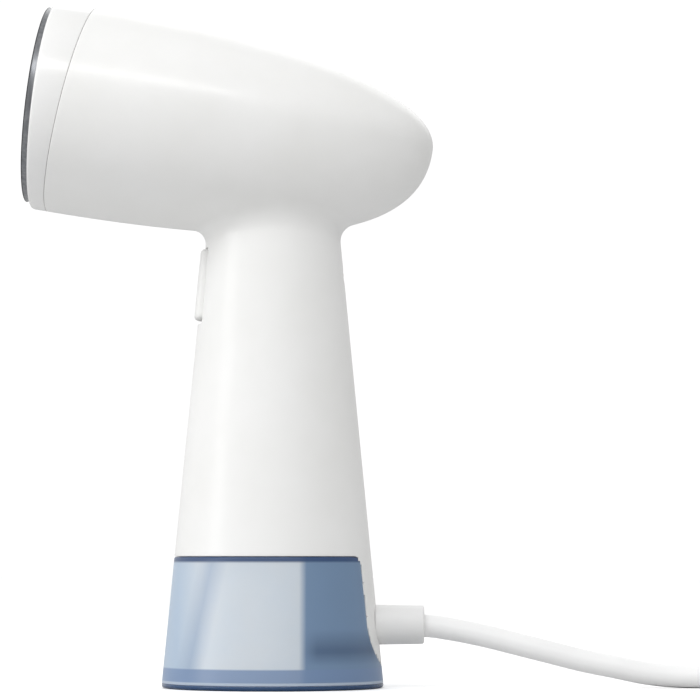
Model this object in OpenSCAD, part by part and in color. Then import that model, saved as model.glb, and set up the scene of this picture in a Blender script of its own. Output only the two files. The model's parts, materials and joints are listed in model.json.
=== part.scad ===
// Handheld garment steamer: a bullet-shaped boiler head on a tapering oval handle
// that stands on its own clip-off water tank. Millimetres, +Z up, soleplate towards -X.
// The origin is the middle of the face it stands on.

/* [Head] */
// Length from the rim round the soleplate to the nose
head_length = 122.5; // [118:0.5:126]
// Height at the soleplate rim
head_height = 65; // [62:0.5:68]
// Width at the soleplate rim
head_width = 78; // [76:0.5:82]
// Backward lean of the soleplate, degrees
head_tilt = 7.5; // [6.5:0.5:8.5]
// Depth of the front ring at its top
ring_top = 12.8; // [11:0.1:14]
// Depth of the front ring at its bottom
ring_bottom = 5; // [4.5:0.1:6]

/* [Handle and tank] */
// Front-to-back depth of the oval at the standing face
base_depth = 69; // [68:0.5:72]
// Front-to-back depth of the oval where it meets the head
neck_depth = 42; // [41:0.5:44]
// Width of the oval as a share of its depth
oval_ratio = 0.88; // [0.86:0.01:0.95]
// Height of the water tank's top
tank_top = 40.5; // [39:0.5:42]
// Wall of the housing halves
wall = 2.5; // [2.2:0.1:2.8]
// Wall of the water tank
tank_wall = 2; // [1.6:0.1:2.2]

/* [Trigger] */
// Height of the trigger's pin
pin_z = 133; // [132.5:0.5:134]
// Length of the trigger's face
trigger_length = 22; // [21.5:0.5:22.5]
// How far the trigger stands out of the handle
trigger_proud = 1.3; // [1:0.1:1.6]

/* [Cord] */
// Diameter of the mains cord
cord_d = 7; // [6:0.5:7]
// Height of the cord's bushing
bush_z = 19.5; // [19:0.5:20]

/* [Hidden] */

$fn = 32;
white = "#f4f4f2";
ice_blue = "#bcd3ea";
steel = "#b4b8bb";
aluminium = "#9fa3a6";
black = "#2b2c2e";

// Where the head sits: the middle of the soleplate rim
front_x = -71.75;
front_z = 181.75;
neck_z = 139.5;
half_h = head_height / 2;
half_w = head_width / 2;
nose_rise = 2;
// Side outlines and half-width of the head, along its own axis
top_curve = [[0, half_h], [0.66 * head_length, 0.97 * half_h],
    [head_length, 0.54 * half_h], [head_length, nose_rise]];
bottom_curve = [[0, -half_h], [0.64 * head_length, -1.1 * half_h],
    [head_length, -0.86 * half_h], [head_length, nose_rise]];
width_curve = [half_w, half_w, 0.7 * half_w, 0];
head_rings = 16;
head_sides = 40;

// The soleplate and what it seats on, in the head's own frame
plate_inset = 1.5;
plate_front = -2;
plate_back = 2;
dome = 1;
gasket_t = 1;
boiler_back = 18;
cover_t = 2.5;
element_x = 7;
element_r = 20;
shield_x = 33;
inlet_v = -12;

// Gap between the tank and the handle above it
gap = 0.2;
handle_base = tank_top + gap;
base_rim = 1.5;
base_floor = 4.5;
chamber_back = 9.5;
spine_front = 11.5;
spine_bottom = 6;
notch_half = 12.5;
corner_r = 3;
fit = 0.3;
spigot_x = -10;
mouth_r = 11.05;
tube_r = 2.5;
filter_r = 4;

pin_x = -14;
pin_r = 1.25;
button_z = 118;
switch_x = -13.5;
spring_z = 126.5;
plate_x = -7;

bush_end = 47;
cord_r = cord_d / 2;
coil_centre = [188, 38.5];
coil_in = 27;
coil_out = 48;
coil_h = 21;
tie_t = 0.8;
plug_at = [179.5, -22, 17];
plug_length = 50;

// Each housing screw: X, Z and the height of its seat above the split
screws = [[16, 60, 6], [16, 104, 6], [25, 165, 14], [-20, 195, 14]];

// The free stretches of the cord: to the coil, and from the coil to the plug
cord_route = [[19, 0, 19.5], [33, 0, 19.5], [47, 0, 19.2], [56, 0, 18], [66, -0.5, 16],
    [76, -1, 13.5], [86, -1.5, 11], [96, -2, 8.5], [106, -2.5, 6.5], [116, -2.5, 4.5],
    [126, -2.8, 3.5], [140, -4.2, 3.5], [155, -5.5, 3.5], [168, -6, 3.5]];
tail_route = [[150.5, 34, 19], [150.5, 25, 22.5], [150.5, 15.5, 24.5], [150.5, 6, 23],
    [151.45, -1.25, 21], [154.25, -8, 19], [158.7, -13.8, 17.2], [164.5, -18.25, 16.4],
    [171.25, -21.05, 16.6], [178.5, -22, 17], [180.5, -22, 17]];

function unit(v) = v / norm(v);
function bezier(p, t) = pow(1 - t, 3) * p[0] + 3 * pow(1 - t, 2) * t * p[1]
    + 3 * (1 - t) * t * t * p[2] + t * t * t * p[3];
function oval_r(z) = base_depth / 2 - z * (base_depth - neck_depth) / 2 / neck_z;
function ellipse(a, b, n = 64) = [for (i = [0:n - 1]) [a * cos(360 * i / n), b * sin(360 * i / n)]];

// One ring of the head's skin, drawn in by inset
function head_ring(t, inset) =
    let (top = bezier(top_curve, t), bottom = bezier(bottom_curve, t),
        arm = (top - bottom) / 2, mid = (top + bottom) / 2,
        tall = norm(arm) - inset, wide = bezier(width_curve, t) - inset,
        dir = unit(arm), draw = 1 - inset / head_length)
    [for (i = [0:head_sides - 1]) let (s = tall * sin(360 * i / head_sides))
        [mid[0] * draw + dir[0] * s, wide * cos(360 * i / head_sides), mid[1] + dir[1] * s]];

function oval_ring(z, inset) = [for (p = ellipse(oval_r(z) - inset,
    oval_ratio * oval_r(z) - inset)) [p[0], p[1], z]];

function heading(path, i) = unit(path[min(i + 1, len(path) - 1)] - path[max(i - 1, 0)]);
function tube_ring(path, i, r, sides, ref) =
    let (t = heading(path, i), s = unit(cross(t, ref)), u = cross(s, t))
    [for (k = [0:sides - 1]) path[i] + r * (cos(360 * k / sides) * s + sin(360 * k / sides) * u)];

// A closed skin over rings that all have the same number of points. Split gives
// two triangles for each patch, which a twisting skin needs.
module skin(rings, split = false) {
    n = len(rings);
    m = len(rings[0]);
    quads = [for (i = [0:n - 2], k = [0:m - 1])
        [i * m + k, i * m + (k + 1) % m, (i + 1) * m + (k + 1) % m, (i + 1) * m + k]];
    sides = split ? [for (q = quads, half = [0, 2]) [q[half], q[half + 1], q[(half + 2) % 4]]] : quads;
    first = [for (k = [0:m - 1]) m - 1 - k];
    last = [for (k = [0:m - 1]) (n - 1) * m + k];
    polyhedron([for (ring = rings, p = ring) p], concat([first], sides, [last]));
}

module tube(path, r, sides = 10, ref = [0, 1, 0], split = false) {
    skin([for (i = [0:len(path) - 1]) tube_ring(path, i, r, sides, ref)], split);
}

// A wound spring along +Z from the origin
module spring(r, wire_r, length, turns) {
    steps = 8 * turns;
    tube([for (i = [0:steps]) [r * cos(45 * i), r * sin(45 * i),
        wire_r + (length - 2 * wire_r) * i / steps]], wire_r, 6, [0, 0, 1], true);
}

// Stands children in the head's own frame: X along its axis, Z up the soleplate
module in_head() {
    translate([front_x, 0, front_z]) rotate([0, head_tilt, 0]) children();
}

// Extrudes a side view (X, Z) across Y
module across(width) {
    rotate([90, 0, 0]) linear_extrude(width, center = true) children();
}

// Extrudes a front view (Y, Z) along X
module along(x0, x1) {
    translate([x0, 0, 0]) rotate([90, 0, 90]) linear_extrude(x1 - x0) children();
}

// Turns a profile (radius, X) about the X axis
module turned_x() {
    rotate([0, 90, 0]) rotate_extrude() children();
}

module rod_x(r, x0, x1) {
    translate([x0, 0, 0]) rotate([0, 90, 0]) cylinder(r = r, h = x1 - x0);
}

module rod_y(r, y0, y1) {
    translate([0, y1, 0]) rotate([90, 0, 0]) cylinder(r = r, h = y1 - y0);
}

module block(x, y, z) {
    translate([x[0], y[0], z[0]]) cube([x[1] - x[0], y[1] - y[0], z[1] - z[0]]);
}

module oval_slab(x0, x1, a, b) {
    along(x0, x1) polygon(ellipse(a, b));
}

module head_solid(inset = 0) {
    last = inset > 0 ? 0.9 : 0.99;
    skin([for (i = [head_rings:-1:0]) head_ring(last * i / head_rings, inset)]);
}

module oval_solid(z0, z1, inset = 0) {
    skin([oval_ring(z1, inset), oval_ring(z0, inset)]);
}

// Everything ahead of the slanting joint behind the front ring
module ahead_of_joint(shift = 0) {
    slope = (ring_top - ring_bottom) / head_height;
    middle = (ring_top + ring_bottom) / 2 + shift;
    reach = 1.3 * half_h;
    across(2 * head_width) polygon([[-20, -reach], [middle - slope * reach, -reach],
        [middle + slope * reach, reach], [-20, reach]]);
}

// The notch in the back of the tank, as a front view
module notch_shape(half, flare) {
    translate([0, bush_z]) circle(r = half);
    translate([-half, bush_z]) square([2 * half, tank_top + 5 - bush_z]);
    if (flare) for (side = [-1, 1]) difference() {
        translate([side * (half + corner_r / 2), tank_top - corner_r / 2 + 0.5])
            square([corner_r + 0.2, corner_r + 1], center = true);
        translate([side * (half + corner_r), tank_top - corner_r]) circle(r = corner_r);
    }
}

// The straight-sided part of the spine that stands between the tank's skirts
module spine_block(inset, z0, z1) {
    intersection() {
        translate([0, 0, z0]) linear_extrude(z1 - z0)
            polygon(ellipse(oval_r(tank_top) - tank_wall - fit - inset,
                oval_ratio * oval_r(tank_top) - tank_wall - fit - inset));
        block([spine_front + inset, 60], [-40, 40], [z0, z1]);
    }
}

module trigger_face(grow) {
    top_z = pin_z + 3.3;
    polygon([[-5.5 - grow, top_z + grow], [5.5 + grow, top_z + grow],
        [7 + grow, top_z - trigger_length - 3.5 * grow],
        [-7 - grow, top_z - trigger_length - 3.5 * grow]]);
}

// The whole hollow body before it is split; the halves differ only at the screws
module body_shell() {
    difference() {
        union() {
            difference() {
                in_head() head_solid();
                in_head() ahead_of_joint();
            }
            intersection() {
                oval_solid(spine_bottom, neck_z + 10);
                union() {
                    block([-60, 60], [-60, 60], [handle_base, neck_z + 20]);
                    along(20, 40) notch_shape(notch_half - fit, false);
                }
            }
            spine_block(0, spine_bottom, handle_base + 1);
        }
        in_head() head_solid(wall);
        oval_solid(handle_base + 2, neck_z + 12, wall);
        spine_block(2, spine_bottom + 2, handle_base + 3);
        translate([spigot_x, 0, handle_base - 1]) cylinder(r = 9, h = 5);
        translate([0, 0, bush_z]) rod_x(5.05, 20, 40);
        translate([0, 0, bush_z]) rod_x(6.3, 31.6, 40);
        along(-30, -12) trigger_face(0.4);
        translate([0, 0, 128]) rod_x(2.05, 15, 30);
    }
    intersection() {
        oval_solid(handle_base + 2, neck_z, wall - 0.2);
        for (z = [53, 92]) difference() {
            block([-40, 2], [-40, 40], [z, z + 2]);
            translate([spigot_x, 0, z - 1]) cylinder(r = 9.05, h = 4);
        }
    }
}

module screw_post(at, r, y0, y1) {
    translate([at[0], 0, at[1]]) rod_y(r, y0, y1);
}

module inside_body() {
    intersection() {
        union() {
            in_head() head_solid(wall - 0.4);
            oval_solid(handle_base, neck_z + 10, wall - 0.4);
        }
        children();
    }
}

module left_housing() {
    color(white) difference() {
        union() {
            intersection() {
                body_shell();
                block([-90, 60], [-60, 0], [0, 230]);
            }
            inside_body() for (s = screws) screw_post(s, 4.1, -40, 0);
        }
        for (s = screws) screw_post(s, 1.25, -7, 1);
    }
}

module right_housing() {
    color(white) difference() {
        union() {
            intersection() {
                body_shell();
                block([-90, 60], [0, 60], [0, 230]);
            }
            inside_body() for (s = screws) screw_post(s, 4.5, 0, 40);
        }
        for (s = screws) {
            screw_post(s, 1.6, -1, 40);
            screw_post(s, 3.2, s[2], 60);
        }
    }
}

module front_ring() {
    color(white) in_head() difference() {
        union() {
            intersection() {
                head_solid();
                ahead_of_joint(-0.1);
            }
            oval_slab(4, 16, half_w - wall - 0.5, half_h - wall - 0.5);
        }
        oval_slab(-5, plate_back + gasket_t, half_w - 1.2, half_h - 1.2);
        oval_slab(0, 20, half_w - 3.8, half_h - 3.8);
    }
}

// Steam holes: a middle one and two arcs of them
vent_r = 1.5;
vents = concat([[0, 0]], [for (i = [0:5]) [13 * cos(60 * i + 30), 10.5 * sin(60 * i + 30)]],
    [for (i = [0:11]) [25 * cos(30 * i + 15), 20 * sin(30 * i + 15)]]);

// One ring of the soleplate's skin, a share of its full size
function plate_ring(x, share) = [for (p = ellipse(share * (half_w - plate_inset),
    share * (half_h - plate_inset))) [x, p[0], p[1]]];

module steam_plate() {
    color(steel) in_head() difference() {
        skin(concat([plate_ring(plate_back, 1)],
            [for (share = [1:-0.2:0.2]) plate_ring(plate_front - dome * (1 - share * share), share)]));
        for (v = vents) translate([0, v[0], v[1]]) rod_x(vent_r, -10, 10, $fn = 24);
    }
}

module plate_gasket() {
    color("gainsboro") in_head() difference() {
        oval_slab(plate_back, plate_back + gasket_t, half_w - plate_inset, half_h - plate_inset);
        oval_slab(0, 5, half_w - 4, half_h - 4);
    }
}

module boiler_bolts(r) {
    for (y = [-24, 24], z = [-15, 15]) translate([0, y, z]) children();
}

// The heater: an open ring with two straight ends that come out of the boiler's back
module element_shape(grow = 0) {
    overrun = 10;
    translate([element_x, 0, 0]) rotate([0, -90, 0]) rotate([0, 0, 225 - overrun])
        rotate_extrude(angle = 270 + 2 * overrun) translate([element_r, 0]) circle(r = 3.2);
    for (side = [-1, 1]) translate([0, side * element_r * sin(45), -element_r * cos(45)])
        rod_x(2.6 + grow, element_x, 27);
}

module boiler_body() {
    color(aluminium) in_head() difference() {
        oval_slab(plate_back, boiler_back, half_w - 5.5, half_h - 5);
        oval_slab(0, plate_back + 1.4, half_w - 10, half_h - 10);
        oval_slab(11, boiler_back + 1, 12, 10);
        for (v = [for (i = [1:6]) vents[i]]) translate([0, 0.7 * v[0], 0.7 * v[1]]) rod_x(1.2, 0, 15, $fn = 24);
        element_shape();
        boiler_bolts() rod_x(1.6, 5, 20);
    }
}

module boiler_cover() {
    color(aluminium) in_head() difference() {
        union() {
            oval_slab(boiler_back, boiler_back + cover_t, half_w - 5.5, half_h - 5);
            translate([0, 0, inlet_v]) rod_x(3, boiler_back, 27);
        }
        translate([0, 0, inlet_v]) rod_x(1.5, 10, 30);
        element_shape(0.1);
        boiler_bolts() rod_x(1.6, 5, 25);
    }
}

module boiler_screws() {
    color("silver") in_head() boiler_bolts() {
        rod_x(1.5, 6, boiler_back + cover_t);
        rod_x(2.8, boiler_back + cover_t, boiler_back + cover_t + 2);
    }
}

module heating_element() {
    color("gray") in_head() element_shape();
}

module thermostat() {
    back = boiler_back + cover_t;
    color("peru") in_head() translate([0, 0, 8]) {
        rod_x(8, back, back + 2);
        rod_x(6.5, back + 2, back + 6);
        for (y = [-4, 4]) block([back + 6, back + 12], [y - 0.4, y + 0.4], [-3, 3]);
    }
}

module thermal_fuse() {
    back = boiler_back + cover_t;
    color("ivory") in_head() translate([back + 2, 0, 21]) {
        rod_y(2, -7, 7);
        for (side = [-1, 1]) rod_y(0.5, side * 10 - 3, side * 10 + 3);
    }
}

module heat_shield() {
    color("goldenrod") in_head() difference() {
        oval_slab(shield_x, shield_x + 1.2, half_w - 5, half_h - 5);
        translate([0, 0, inlet_v]) rod_x(4, 30, 40);
        for (side = [-1, 1]) translate([0, side * element_r * sin(45), -element_r * cos(45)])
            rod_x(3, 30, 40);
    }
}

module pump_body() {
    color("whitesmoke") translate([spigot_x, 0, 0]) difference() {
        union() {
            translate([0, 0, 48]) cylinder(r = 4.5, h = 2);
            translate([0, 0, 50]) cylinder(r = 8, h = 8);
            translate([0, 0, 58]) cylinder(r = 5.5, h = 31);
            translate([0, 0, 89]) cylinder(r = 8, h = 8);
            translate([0, 0, 97]) cylinder(r = 2.5, h = 4);
        }
        translate([0, 0, 47]) cylinder(r = tube_r + 0.05, h = 6);
        translate([0, 0, 52]) cylinder(r = 1.2, h = 60);
        translate([0, 0, 57]) cylinder(r = 4, h = 36);
    }
}

module pump_coil() {
    color("chocolate") translate([spigot_x, 0, 62]) difference() {
        cylinder(r = 10, h = 23);
        translate([0, 0, -1]) cylinder(r = 5.6, h = 25);
    }
}

module pump_yoke() {
    color(steel) translate([spigot_x, 0, 0]) difference() {
        block([-9, 9], [-11.7, 11.7], [60, 87]);
        block([-10, 10], [-10.2, 10.2], [61.9, 85.1]);
        translate([0, 0, 55]) cylinder(r = 5.6, h = 40);
    }
}

module pump_plunger() {
    color("dimgray") translate([spigot_x, 0, 62]) difference() {
        cylinder(r = 3.95, h = 20);
        translate([0, 0, -1]) cylinder(r = 1.2, h = 22);
    }
}

module pump_spring() {
    color("silver") translate([spigot_x, 0, 82.2]) spring(2.9, 0.4, 10.6, 5);
}

module pump_mounts() {
    color(black) translate([spigot_x, 0, 0]) for (z = [54, 93]) translate([0, 0, z])
        rotate_extrude() polygon([[8.02, -3], [11, -3], [11, -1.02], [9, -1.02],
            [9, 1.02], [11, 1.02], [11, 3], [8.02, 3]]);
}

module tank_spigot() {
    color("gainsboro") translate([spigot_x, 0, 0]) rotate_extrude() polygon([
        [tube_r + 0.05, 34], [10.6, 34], [10.6, 36], [9.2, 36], [9.2, 38.2], [10.6, 38.2],
        [10.6, handle_base - 0.1], [8.95, handle_base - 0.1], [8.95, handle_base + 2.05],
        [11, handle_base + 2.05], [11, 45], [tube_r + 0.05, 45]]);
}

module tank_seal() {
    color(black) translate([spigot_x, 0, 37.1]) rotate_extrude()
        translate([10.1, 0]) circle(r = 0.9, $fn = 24);
}

module suction_tube() {
    color("lightgray") translate([spigot_x, 0, 9]) difference() {
        cylinder(r = tube_r, h = 43);
        translate([0, 0, -1]) cylinder(r = 1.6, h = 45);
    }
}

module inlet_filter() {
    color("white") translate([spigot_x, 0, 6]) difference() {
        cylinder(r = filter_r, h = 8);
        translate([0, 0, 3]) cylinder(r = tube_r + 0.02, h = 6);
        for (a = [0:60:300]) rotate([0, 0, a]) block([2.9, 5], [-0.5, 0.5], [1, 5]);
    }
}

module delivery_tube() {
    color("whitesmoke") tube([[-10, 0, 101.1], [-10, 0, 102.5], [-7.5, 0, 105], [-3, 0, 107],
        [0, 0, 111], [1, 0, 116], [1, 0, 123], [1, 0, 133], [0, 0, 142], [-4, 0, 150], [-11, 0, 157],
        [-20, 0, 161.5], [-30, 0, 164], [-38, 0, 165.1], [-46.4, 0, 166.2]], 2.5);
}

module circuit_board() {
    color("seagreen") block([8, 9.6], [-14, 14], [46, 112]);
    color(black) {
        block([4.5, 8], [-12, -4], [84, 96]);
        block([4.5, 8], [3, 12], [88, 96]);
        block([3, 8], [-11, 0], [64, 78]);
        translate([0, 7, 72]) rod_x(4.5, 3.5, 8);
        translate([0, -6, 54]) rod_x(3, 4, 8);
    }
}

module indicator_lens() {
    color("orange") translate([0, 0, 128]) rod_x(2, 15, oval_r(128) - 0.1);
}

module switch_bracket() {
    color("lightgray") difference() {
        union() {
            block([plate_x, plate_x + 1.6], [-7.8, 7.8], [109.6, 136]);
            for (side = [-1, 1]) block([pin_x - 2, plate_x], [side * 7.05 - 0.75, side * 7.05 + 0.75],
                [130, 136]);
            block([switch_x, plate_x], [-4, 4], [109.6, 110.55]);
        }
        translate([pin_x, 0, pin_z]) rod_y(pin_r + 0.01, -10, 10);
        block([plate_x - 1, plate_x + 3], [-0.8, 0.8], [112, 121.5]);
    }
}

module trigger() {
    function face_x(z) = -oval_r(z) - trigger_proud;
    top_z = pin_z + 3.3;
    low_z = top_z - trigger_length;
    color(white) difference() {
        union() {
            intersection() {
                across(20) polygon([[-oval_r(top_z), top_z], [face_x(top_z) + 0.7, top_z - 0.4],
                    [face_x(top_z - 1.8), top_z - 1.8], [face_x(low_z + 1.8), low_z + 1.8],
                    [face_x(low_z) + 0.8, low_z + 0.4], [face_x(low_z) + 2, low_z],
                    [-18, low_z], [-18, 129.5], [pin_x + 0.6, 131], [pin_x + 0.6, 135]]);
                along(-40, 0) trigger_face(0);
            }
            translate([pin_x, 0, pin_z]) rod_y(2.6, -5.7, 5.7);
            block([-18.5, -15.3], [-2, 2], [button_z - 1.5, button_z + 1.5]);
        }
        translate([pin_x, 0, pin_z]) rod_y(pin_r + 0.05, -10, 10);
    }
}

module trigger_pin() {
    color("silver") translate([pin_x, 0, pin_z]) rod_y(pin_r, -7.8, 7.8);
}

module trigger_spring() {
    color("silver") translate([-17.9, 0, spring_z]) rotate([0, 90, 0])
        spring(2.2, 0.35, 10.8, 5);
}

module microswitch() {
    color(black) difference() {
        union() {
            block([switch_x, plate_x - 0.05], [-2.9, 2.9], [110.6, 123.4]);
            for (z = [113, 119]) block([-8, -4.2], [-0.3, 0.3], [z, z + 2]);
        }
        translate([0, 0, button_z]) rod_x(1.25, switch_x - 1, -11.3);
    }
}

module switch_button() {
    color("firebrick") translate([0, 0, button_z]) rod_x(1.2, -15.2, -12.5);
}

module terminal_block() {
    color("ivory") difference() {
        block([15, 24], [-9, 9], [27, 37]);
        for (y = [-6, 0, 6]) translate([19.5, y, 26]) cylinder(r = 1.1, h = 12);
        for (y = [-6, 0, 6]) translate([0, y, 32]) rod_x(1.6, 21, 25);
    }
}

module lead_wires() {
    color("steelblue") for (y = [-6, 0, 6]) {
        tube([[18.5, 0.3 * y, 19.5], [17, 0.45 * y, 21.5], [17.5, 0.8 * y, 24],
            [19.5, y, 26], [19.5, y, 28]], 0.8, 6);
        tube([[19.5, y, 36], [19, y, 39], [16.5, y, 43], [13, y, 47], [11, y, 52],
            [10.5, y, 58]], 0.8, 6);
    }
    color("firebrick") for (side = [-1, 1]) tube([[11, side * 6, 109], [11, side * 6, 112],
        [10, side * 6, 116], [7, side * 6.5, 123], [4, side * 8, 135], [-4, side * 10, 147], [-18, side * 12.5, 157],
        [-32, side * 14, 162.2], [-46.4, side * 14.1, 164.1]], 1.2, 6);
}

module cord_clamp() {
    color("lightgray") difference() {
        union() {
            block([19.6, 22.4], [-9.5, 9.5], [14.2, 25.2]);
            for (y = [-7, 7]) translate([0, y, bush_z]) rod_x(2, 18, 19.6);
        }
        translate([0, 0, bush_z]) rod_x(cord_r + 0.02, 15, 30);
    }
}

module cord_bushing() {
    color(white) translate([0, 0, bush_z]) turned_x() polygon([
        [cord_r + 0.05, 22.7], [6.5, 22.7], [6.5, 25], [4.95, 25], [4.95, 31.7],
        [6.2, 31.7], [5.95, bush_end - 0.5], [5.45, bush_end], [cord_r + 0.05, bush_end]]);
}

module housing_screws() {
    color("silver") for (s = screws) translate([s[0], 0, s[1]]) difference() {
        union() {
            rod_y(1.24, -6, s[2]);
            rod_y(2.9, s[2], s[2] + 2.2);
        }
        translate([0, s[2] + 2.2, 0]) {
            cube([3.4, 2.4, 0.8], center = true);
            cube([0.8, 2.4, 3.4], center = true);
        }
    }
}

module tank_shell() {
    color(ice_blue) difference() {
        oval_solid(base_rim, tank_top);
        intersection() {
            oval_solid(0, tank_top - tank_wall, tank_wall);
            block([-60, chamber_back], [-40, 40], [-1, 60]);
        }
        intersection() {
            oval_solid(0, tank_top + 2, tank_wall);
            block([chamber_back + 1.5, 60], [-40, 40], [-1, 60]);
        }
        along(20, 45) notch_shape(notch_half, true);
        translate([spigot_x, 0, 30]) cylinder(r = mouth_r, h = 20);
    }
}

module tank_base() {
    color("#35506f") {
        oval_solid(0, base_rim);
        intersection() {
            oval_solid(base_rim, base_floor, tank_wall + 0.05);
            block([-60, chamber_back], [-40, 40], [0, 10]);
        }
        intersection() {
            oval_solid(base_rim, base_floor, tank_wall + 0.05);
            block([chamber_back + 1.55, 60], [-40, 40], [0, 10]);
        }
    }
}

module power_cord() {
    color(white) {
        tube(cord_route, cord_r);
        tube(tail_route, cord_r, 10, [0, 0, 1], true);
    }
}

module cord_coil() {
    color(white) translate([coil_centre[0], coil_centre[1], 0]) difference() {
        rotate_extrude() translate([coil_in, 0]) square([coil_out - coil_in, coil_h]);
        block([-6.5, 6.5], [20, 60], [-1, tie_t]);
    }
}

// Both plug pieces lie with their axis along X, beside the coil
module at_plug() {
    translate(plug_at) rotate([0, 90, 0]) children();
}

module plug_body() {
    color(white) at_plug() rotate_extrude() polygon([
        [0, 0.1], [4.8, 0.1], [6.5, 19], [11.5, 22.5], [16.2, 27.5], [17, 31], [17, 48],
        [16, plug_length], [0, plug_length]]);
}

module plug_pins() {
    color("silver") at_plug() for (side = [-1, 1]) translate([0, side * 9.5, plug_length]) {
        cylinder(r = 2.4, h = 17);
        translate([0, 0, 17]) cylinder(r1 = 2.4, r2 = 1.4, h = 2);
    }
}

module cord_tie() {
    low = coil_in - 0.8;
    high = coil_out + 0.1;
    color("dimgray") translate([coil_centre[0], coil_centre[1], 0]) difference() {
        block([-6, 6], [low - tie_t, high + tie_t], [0, coil_h + tie_t]);
        block([-7, 7], [low, high], [tie_t, coil_h]);
    }
}

left_housing();
right_housing();
front_ring();
steam_plate();
plate_gasket();
boiler_body();
boiler_cover();
boiler_screws();
heating_element();
thermostat();
thermal_fuse();
heat_shield();
pump_body();
pump_coil();
pump_yoke();
pump_plunger();
pump_spring();
pump_mounts();
tank_spigot();
tank_seal();
suction_tube();
inlet_filter();
delivery_tube();
circuit_board();
indicator_lens();
switch_bracket();
trigger();
trigger_pin();
trigger_spring();
microswitch();
switch_button();
terminal_block();
lead_wires();
cord_clamp();
cord_bushing();
housing_screws();
tank_shell();
tank_base();
power_cord();
cord_coil();
plug_body();
plug_pins();
cord_tie();
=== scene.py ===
"""Looks for a handheld garment steamer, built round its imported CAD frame.

Every piece is in metres, in the frame's own axes: +Z up the handle, the soleplate
towards -X, the cord leaving towards +X. Each sub-assembly is a class whose fields
are its sizes, and each finish is a small class that builds one material.
"""

import json
import logging
import math
from collections.abc import Callable, Sequence
from dataclasses import dataclass, field
from enum import Enum
from functools import lru_cache

import bmesh
import bpy
import numpy as np
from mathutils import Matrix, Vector


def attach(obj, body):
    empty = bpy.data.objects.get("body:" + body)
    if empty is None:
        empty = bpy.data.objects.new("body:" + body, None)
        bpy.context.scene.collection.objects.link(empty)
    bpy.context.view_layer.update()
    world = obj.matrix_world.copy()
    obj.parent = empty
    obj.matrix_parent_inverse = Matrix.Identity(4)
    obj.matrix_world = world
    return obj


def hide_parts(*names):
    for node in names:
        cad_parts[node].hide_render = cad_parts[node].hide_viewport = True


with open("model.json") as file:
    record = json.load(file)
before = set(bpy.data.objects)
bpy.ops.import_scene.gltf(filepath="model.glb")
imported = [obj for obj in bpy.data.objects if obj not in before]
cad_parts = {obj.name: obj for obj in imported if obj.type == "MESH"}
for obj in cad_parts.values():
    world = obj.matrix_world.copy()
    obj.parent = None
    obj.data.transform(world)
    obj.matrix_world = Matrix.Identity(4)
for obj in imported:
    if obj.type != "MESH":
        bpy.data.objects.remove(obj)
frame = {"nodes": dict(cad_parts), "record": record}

LOG = logging.getLogger("garment_steamer")
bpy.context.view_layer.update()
MM = 0.001
Point = tuple[float, float, float]


class Axis(Enum):
    """A row axis that a turned or extruded piece follows."""

    X = 0
    Y = 1
    Z = 2


class Side(Enum):
    """Which half of the housing a piece belongs to, by the sign of its Y."""

    LEFT = -1
    RIGHT = 1


# ---- Meshes ----


def make_object(name: str, points: np.ndarray, faces: Sequence[Sequence[int]],
                smooth_angle: float = 40.0) -> bpy.types.Object:
    """Makes a mesh object at the origin, smooth but for its sharp edges.

    Args:
        name: The piece's name.
        points: Its vertices, in metres.
        faces: Its faces, wound so that they point outwards.
        smooth_angle: Edges that turn more than this many degrees stay sharp.

    Returns:
        The new object, linked to the scene.
    """
    mesh = bpy.data.meshes.new(name)
    mesh.from_pydata([tuple(p) for p in points], [], [tuple(f) for f in faces])
    mesh.validate()
    mesh.update()
    obj = bpy.data.objects.new(name, mesh)
    bpy.context.scene.collection.objects.link(obj)
    shade(obj, smooth_angle)
    return obj


def shade(obj: bpy.types.Object, smooth_angle: float = 40.0) -> None:
    """Shades a mesh smooth, with its edges sharp past an angle in degrees."""
    mesh = obj.data
    mesh.shade_smooth()
    shape = bmesh.new()
    shape.from_mesh(mesh)
    limit = math.radians(smooth_angle)
    for edge in shape.edges:
        edge.smooth = len(edge.link_faces) == 2 and edge.calc_face_angle(0.0) < limit
    shape.to_mesh(mesh)
    shape.free()
    mesh.update()


def loft(rings: Sequence[np.ndarray], capped: bool = True,
         closed: bool = False) -> tuple[np.ndarray, list[tuple[int, ...]]]:
    """Skins a run of rings that all have the same number of points.

    Args:
        rings: The rings, each an array of points in turn.
        capped: Whether the first and last rings are closed with a face.
        closed: Whether the last ring joins back to the first.

    Returns:
        The points and the faces.
    """
    count, size = len(rings), len(rings[0])
    faces: list[tuple[int, ...]] = []
    for i in range(count if closed else count - 1):
        low, high = i * size, (i + 1) % count * size
        faces += [(low + k, low + (k + 1) % size, high + (k + 1) % size, high + k)
                  for k in range(size)]
    if capped and not closed:
        faces.append(tuple(range(size - 1, -1, -1)))
        faces.append(tuple(range((count - 1) * size, count * size)))
    return np.vstack(rings), faces


def turned(name: str, profile: Sequence[tuple[float, float]], axis: Axis, centre: Point,
           sides: int = 64, smooth_angle: float = 35.0) -> bpy.types.Object:
    """Turns a profile of (distance along the axis, radius) into a closed piece.

    Args:
        name: The piece's name.
        profile: Its outline, from one end to the other, in metres.
        axis: The row axis it is turned about.
        centre: A point on that axis, where the profile's distance is 0.
        sides: How many sides it has.
        smooth_angle: Edges that turn more than this many degrees stay sharp.

    Returns:
        The new object.
    """
    angles = np.linspace(0, 2 * math.pi, sides, endpoint=False)
    rings = []
    for along, radius in profile:
        ring = np.zeros((sides, 3))
        ring[:, axis.value] = along
        ring[:, (axis.value + 1) % 3] = radius * np.cos(angles)
        ring[:, (axis.value + 2) % 3] = radius * np.sin(angles)
        rings.append(ring + np.array(centre))
    points, faces = loft(rings)
    return make_object(name, points, faces, smooth_angle)


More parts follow.
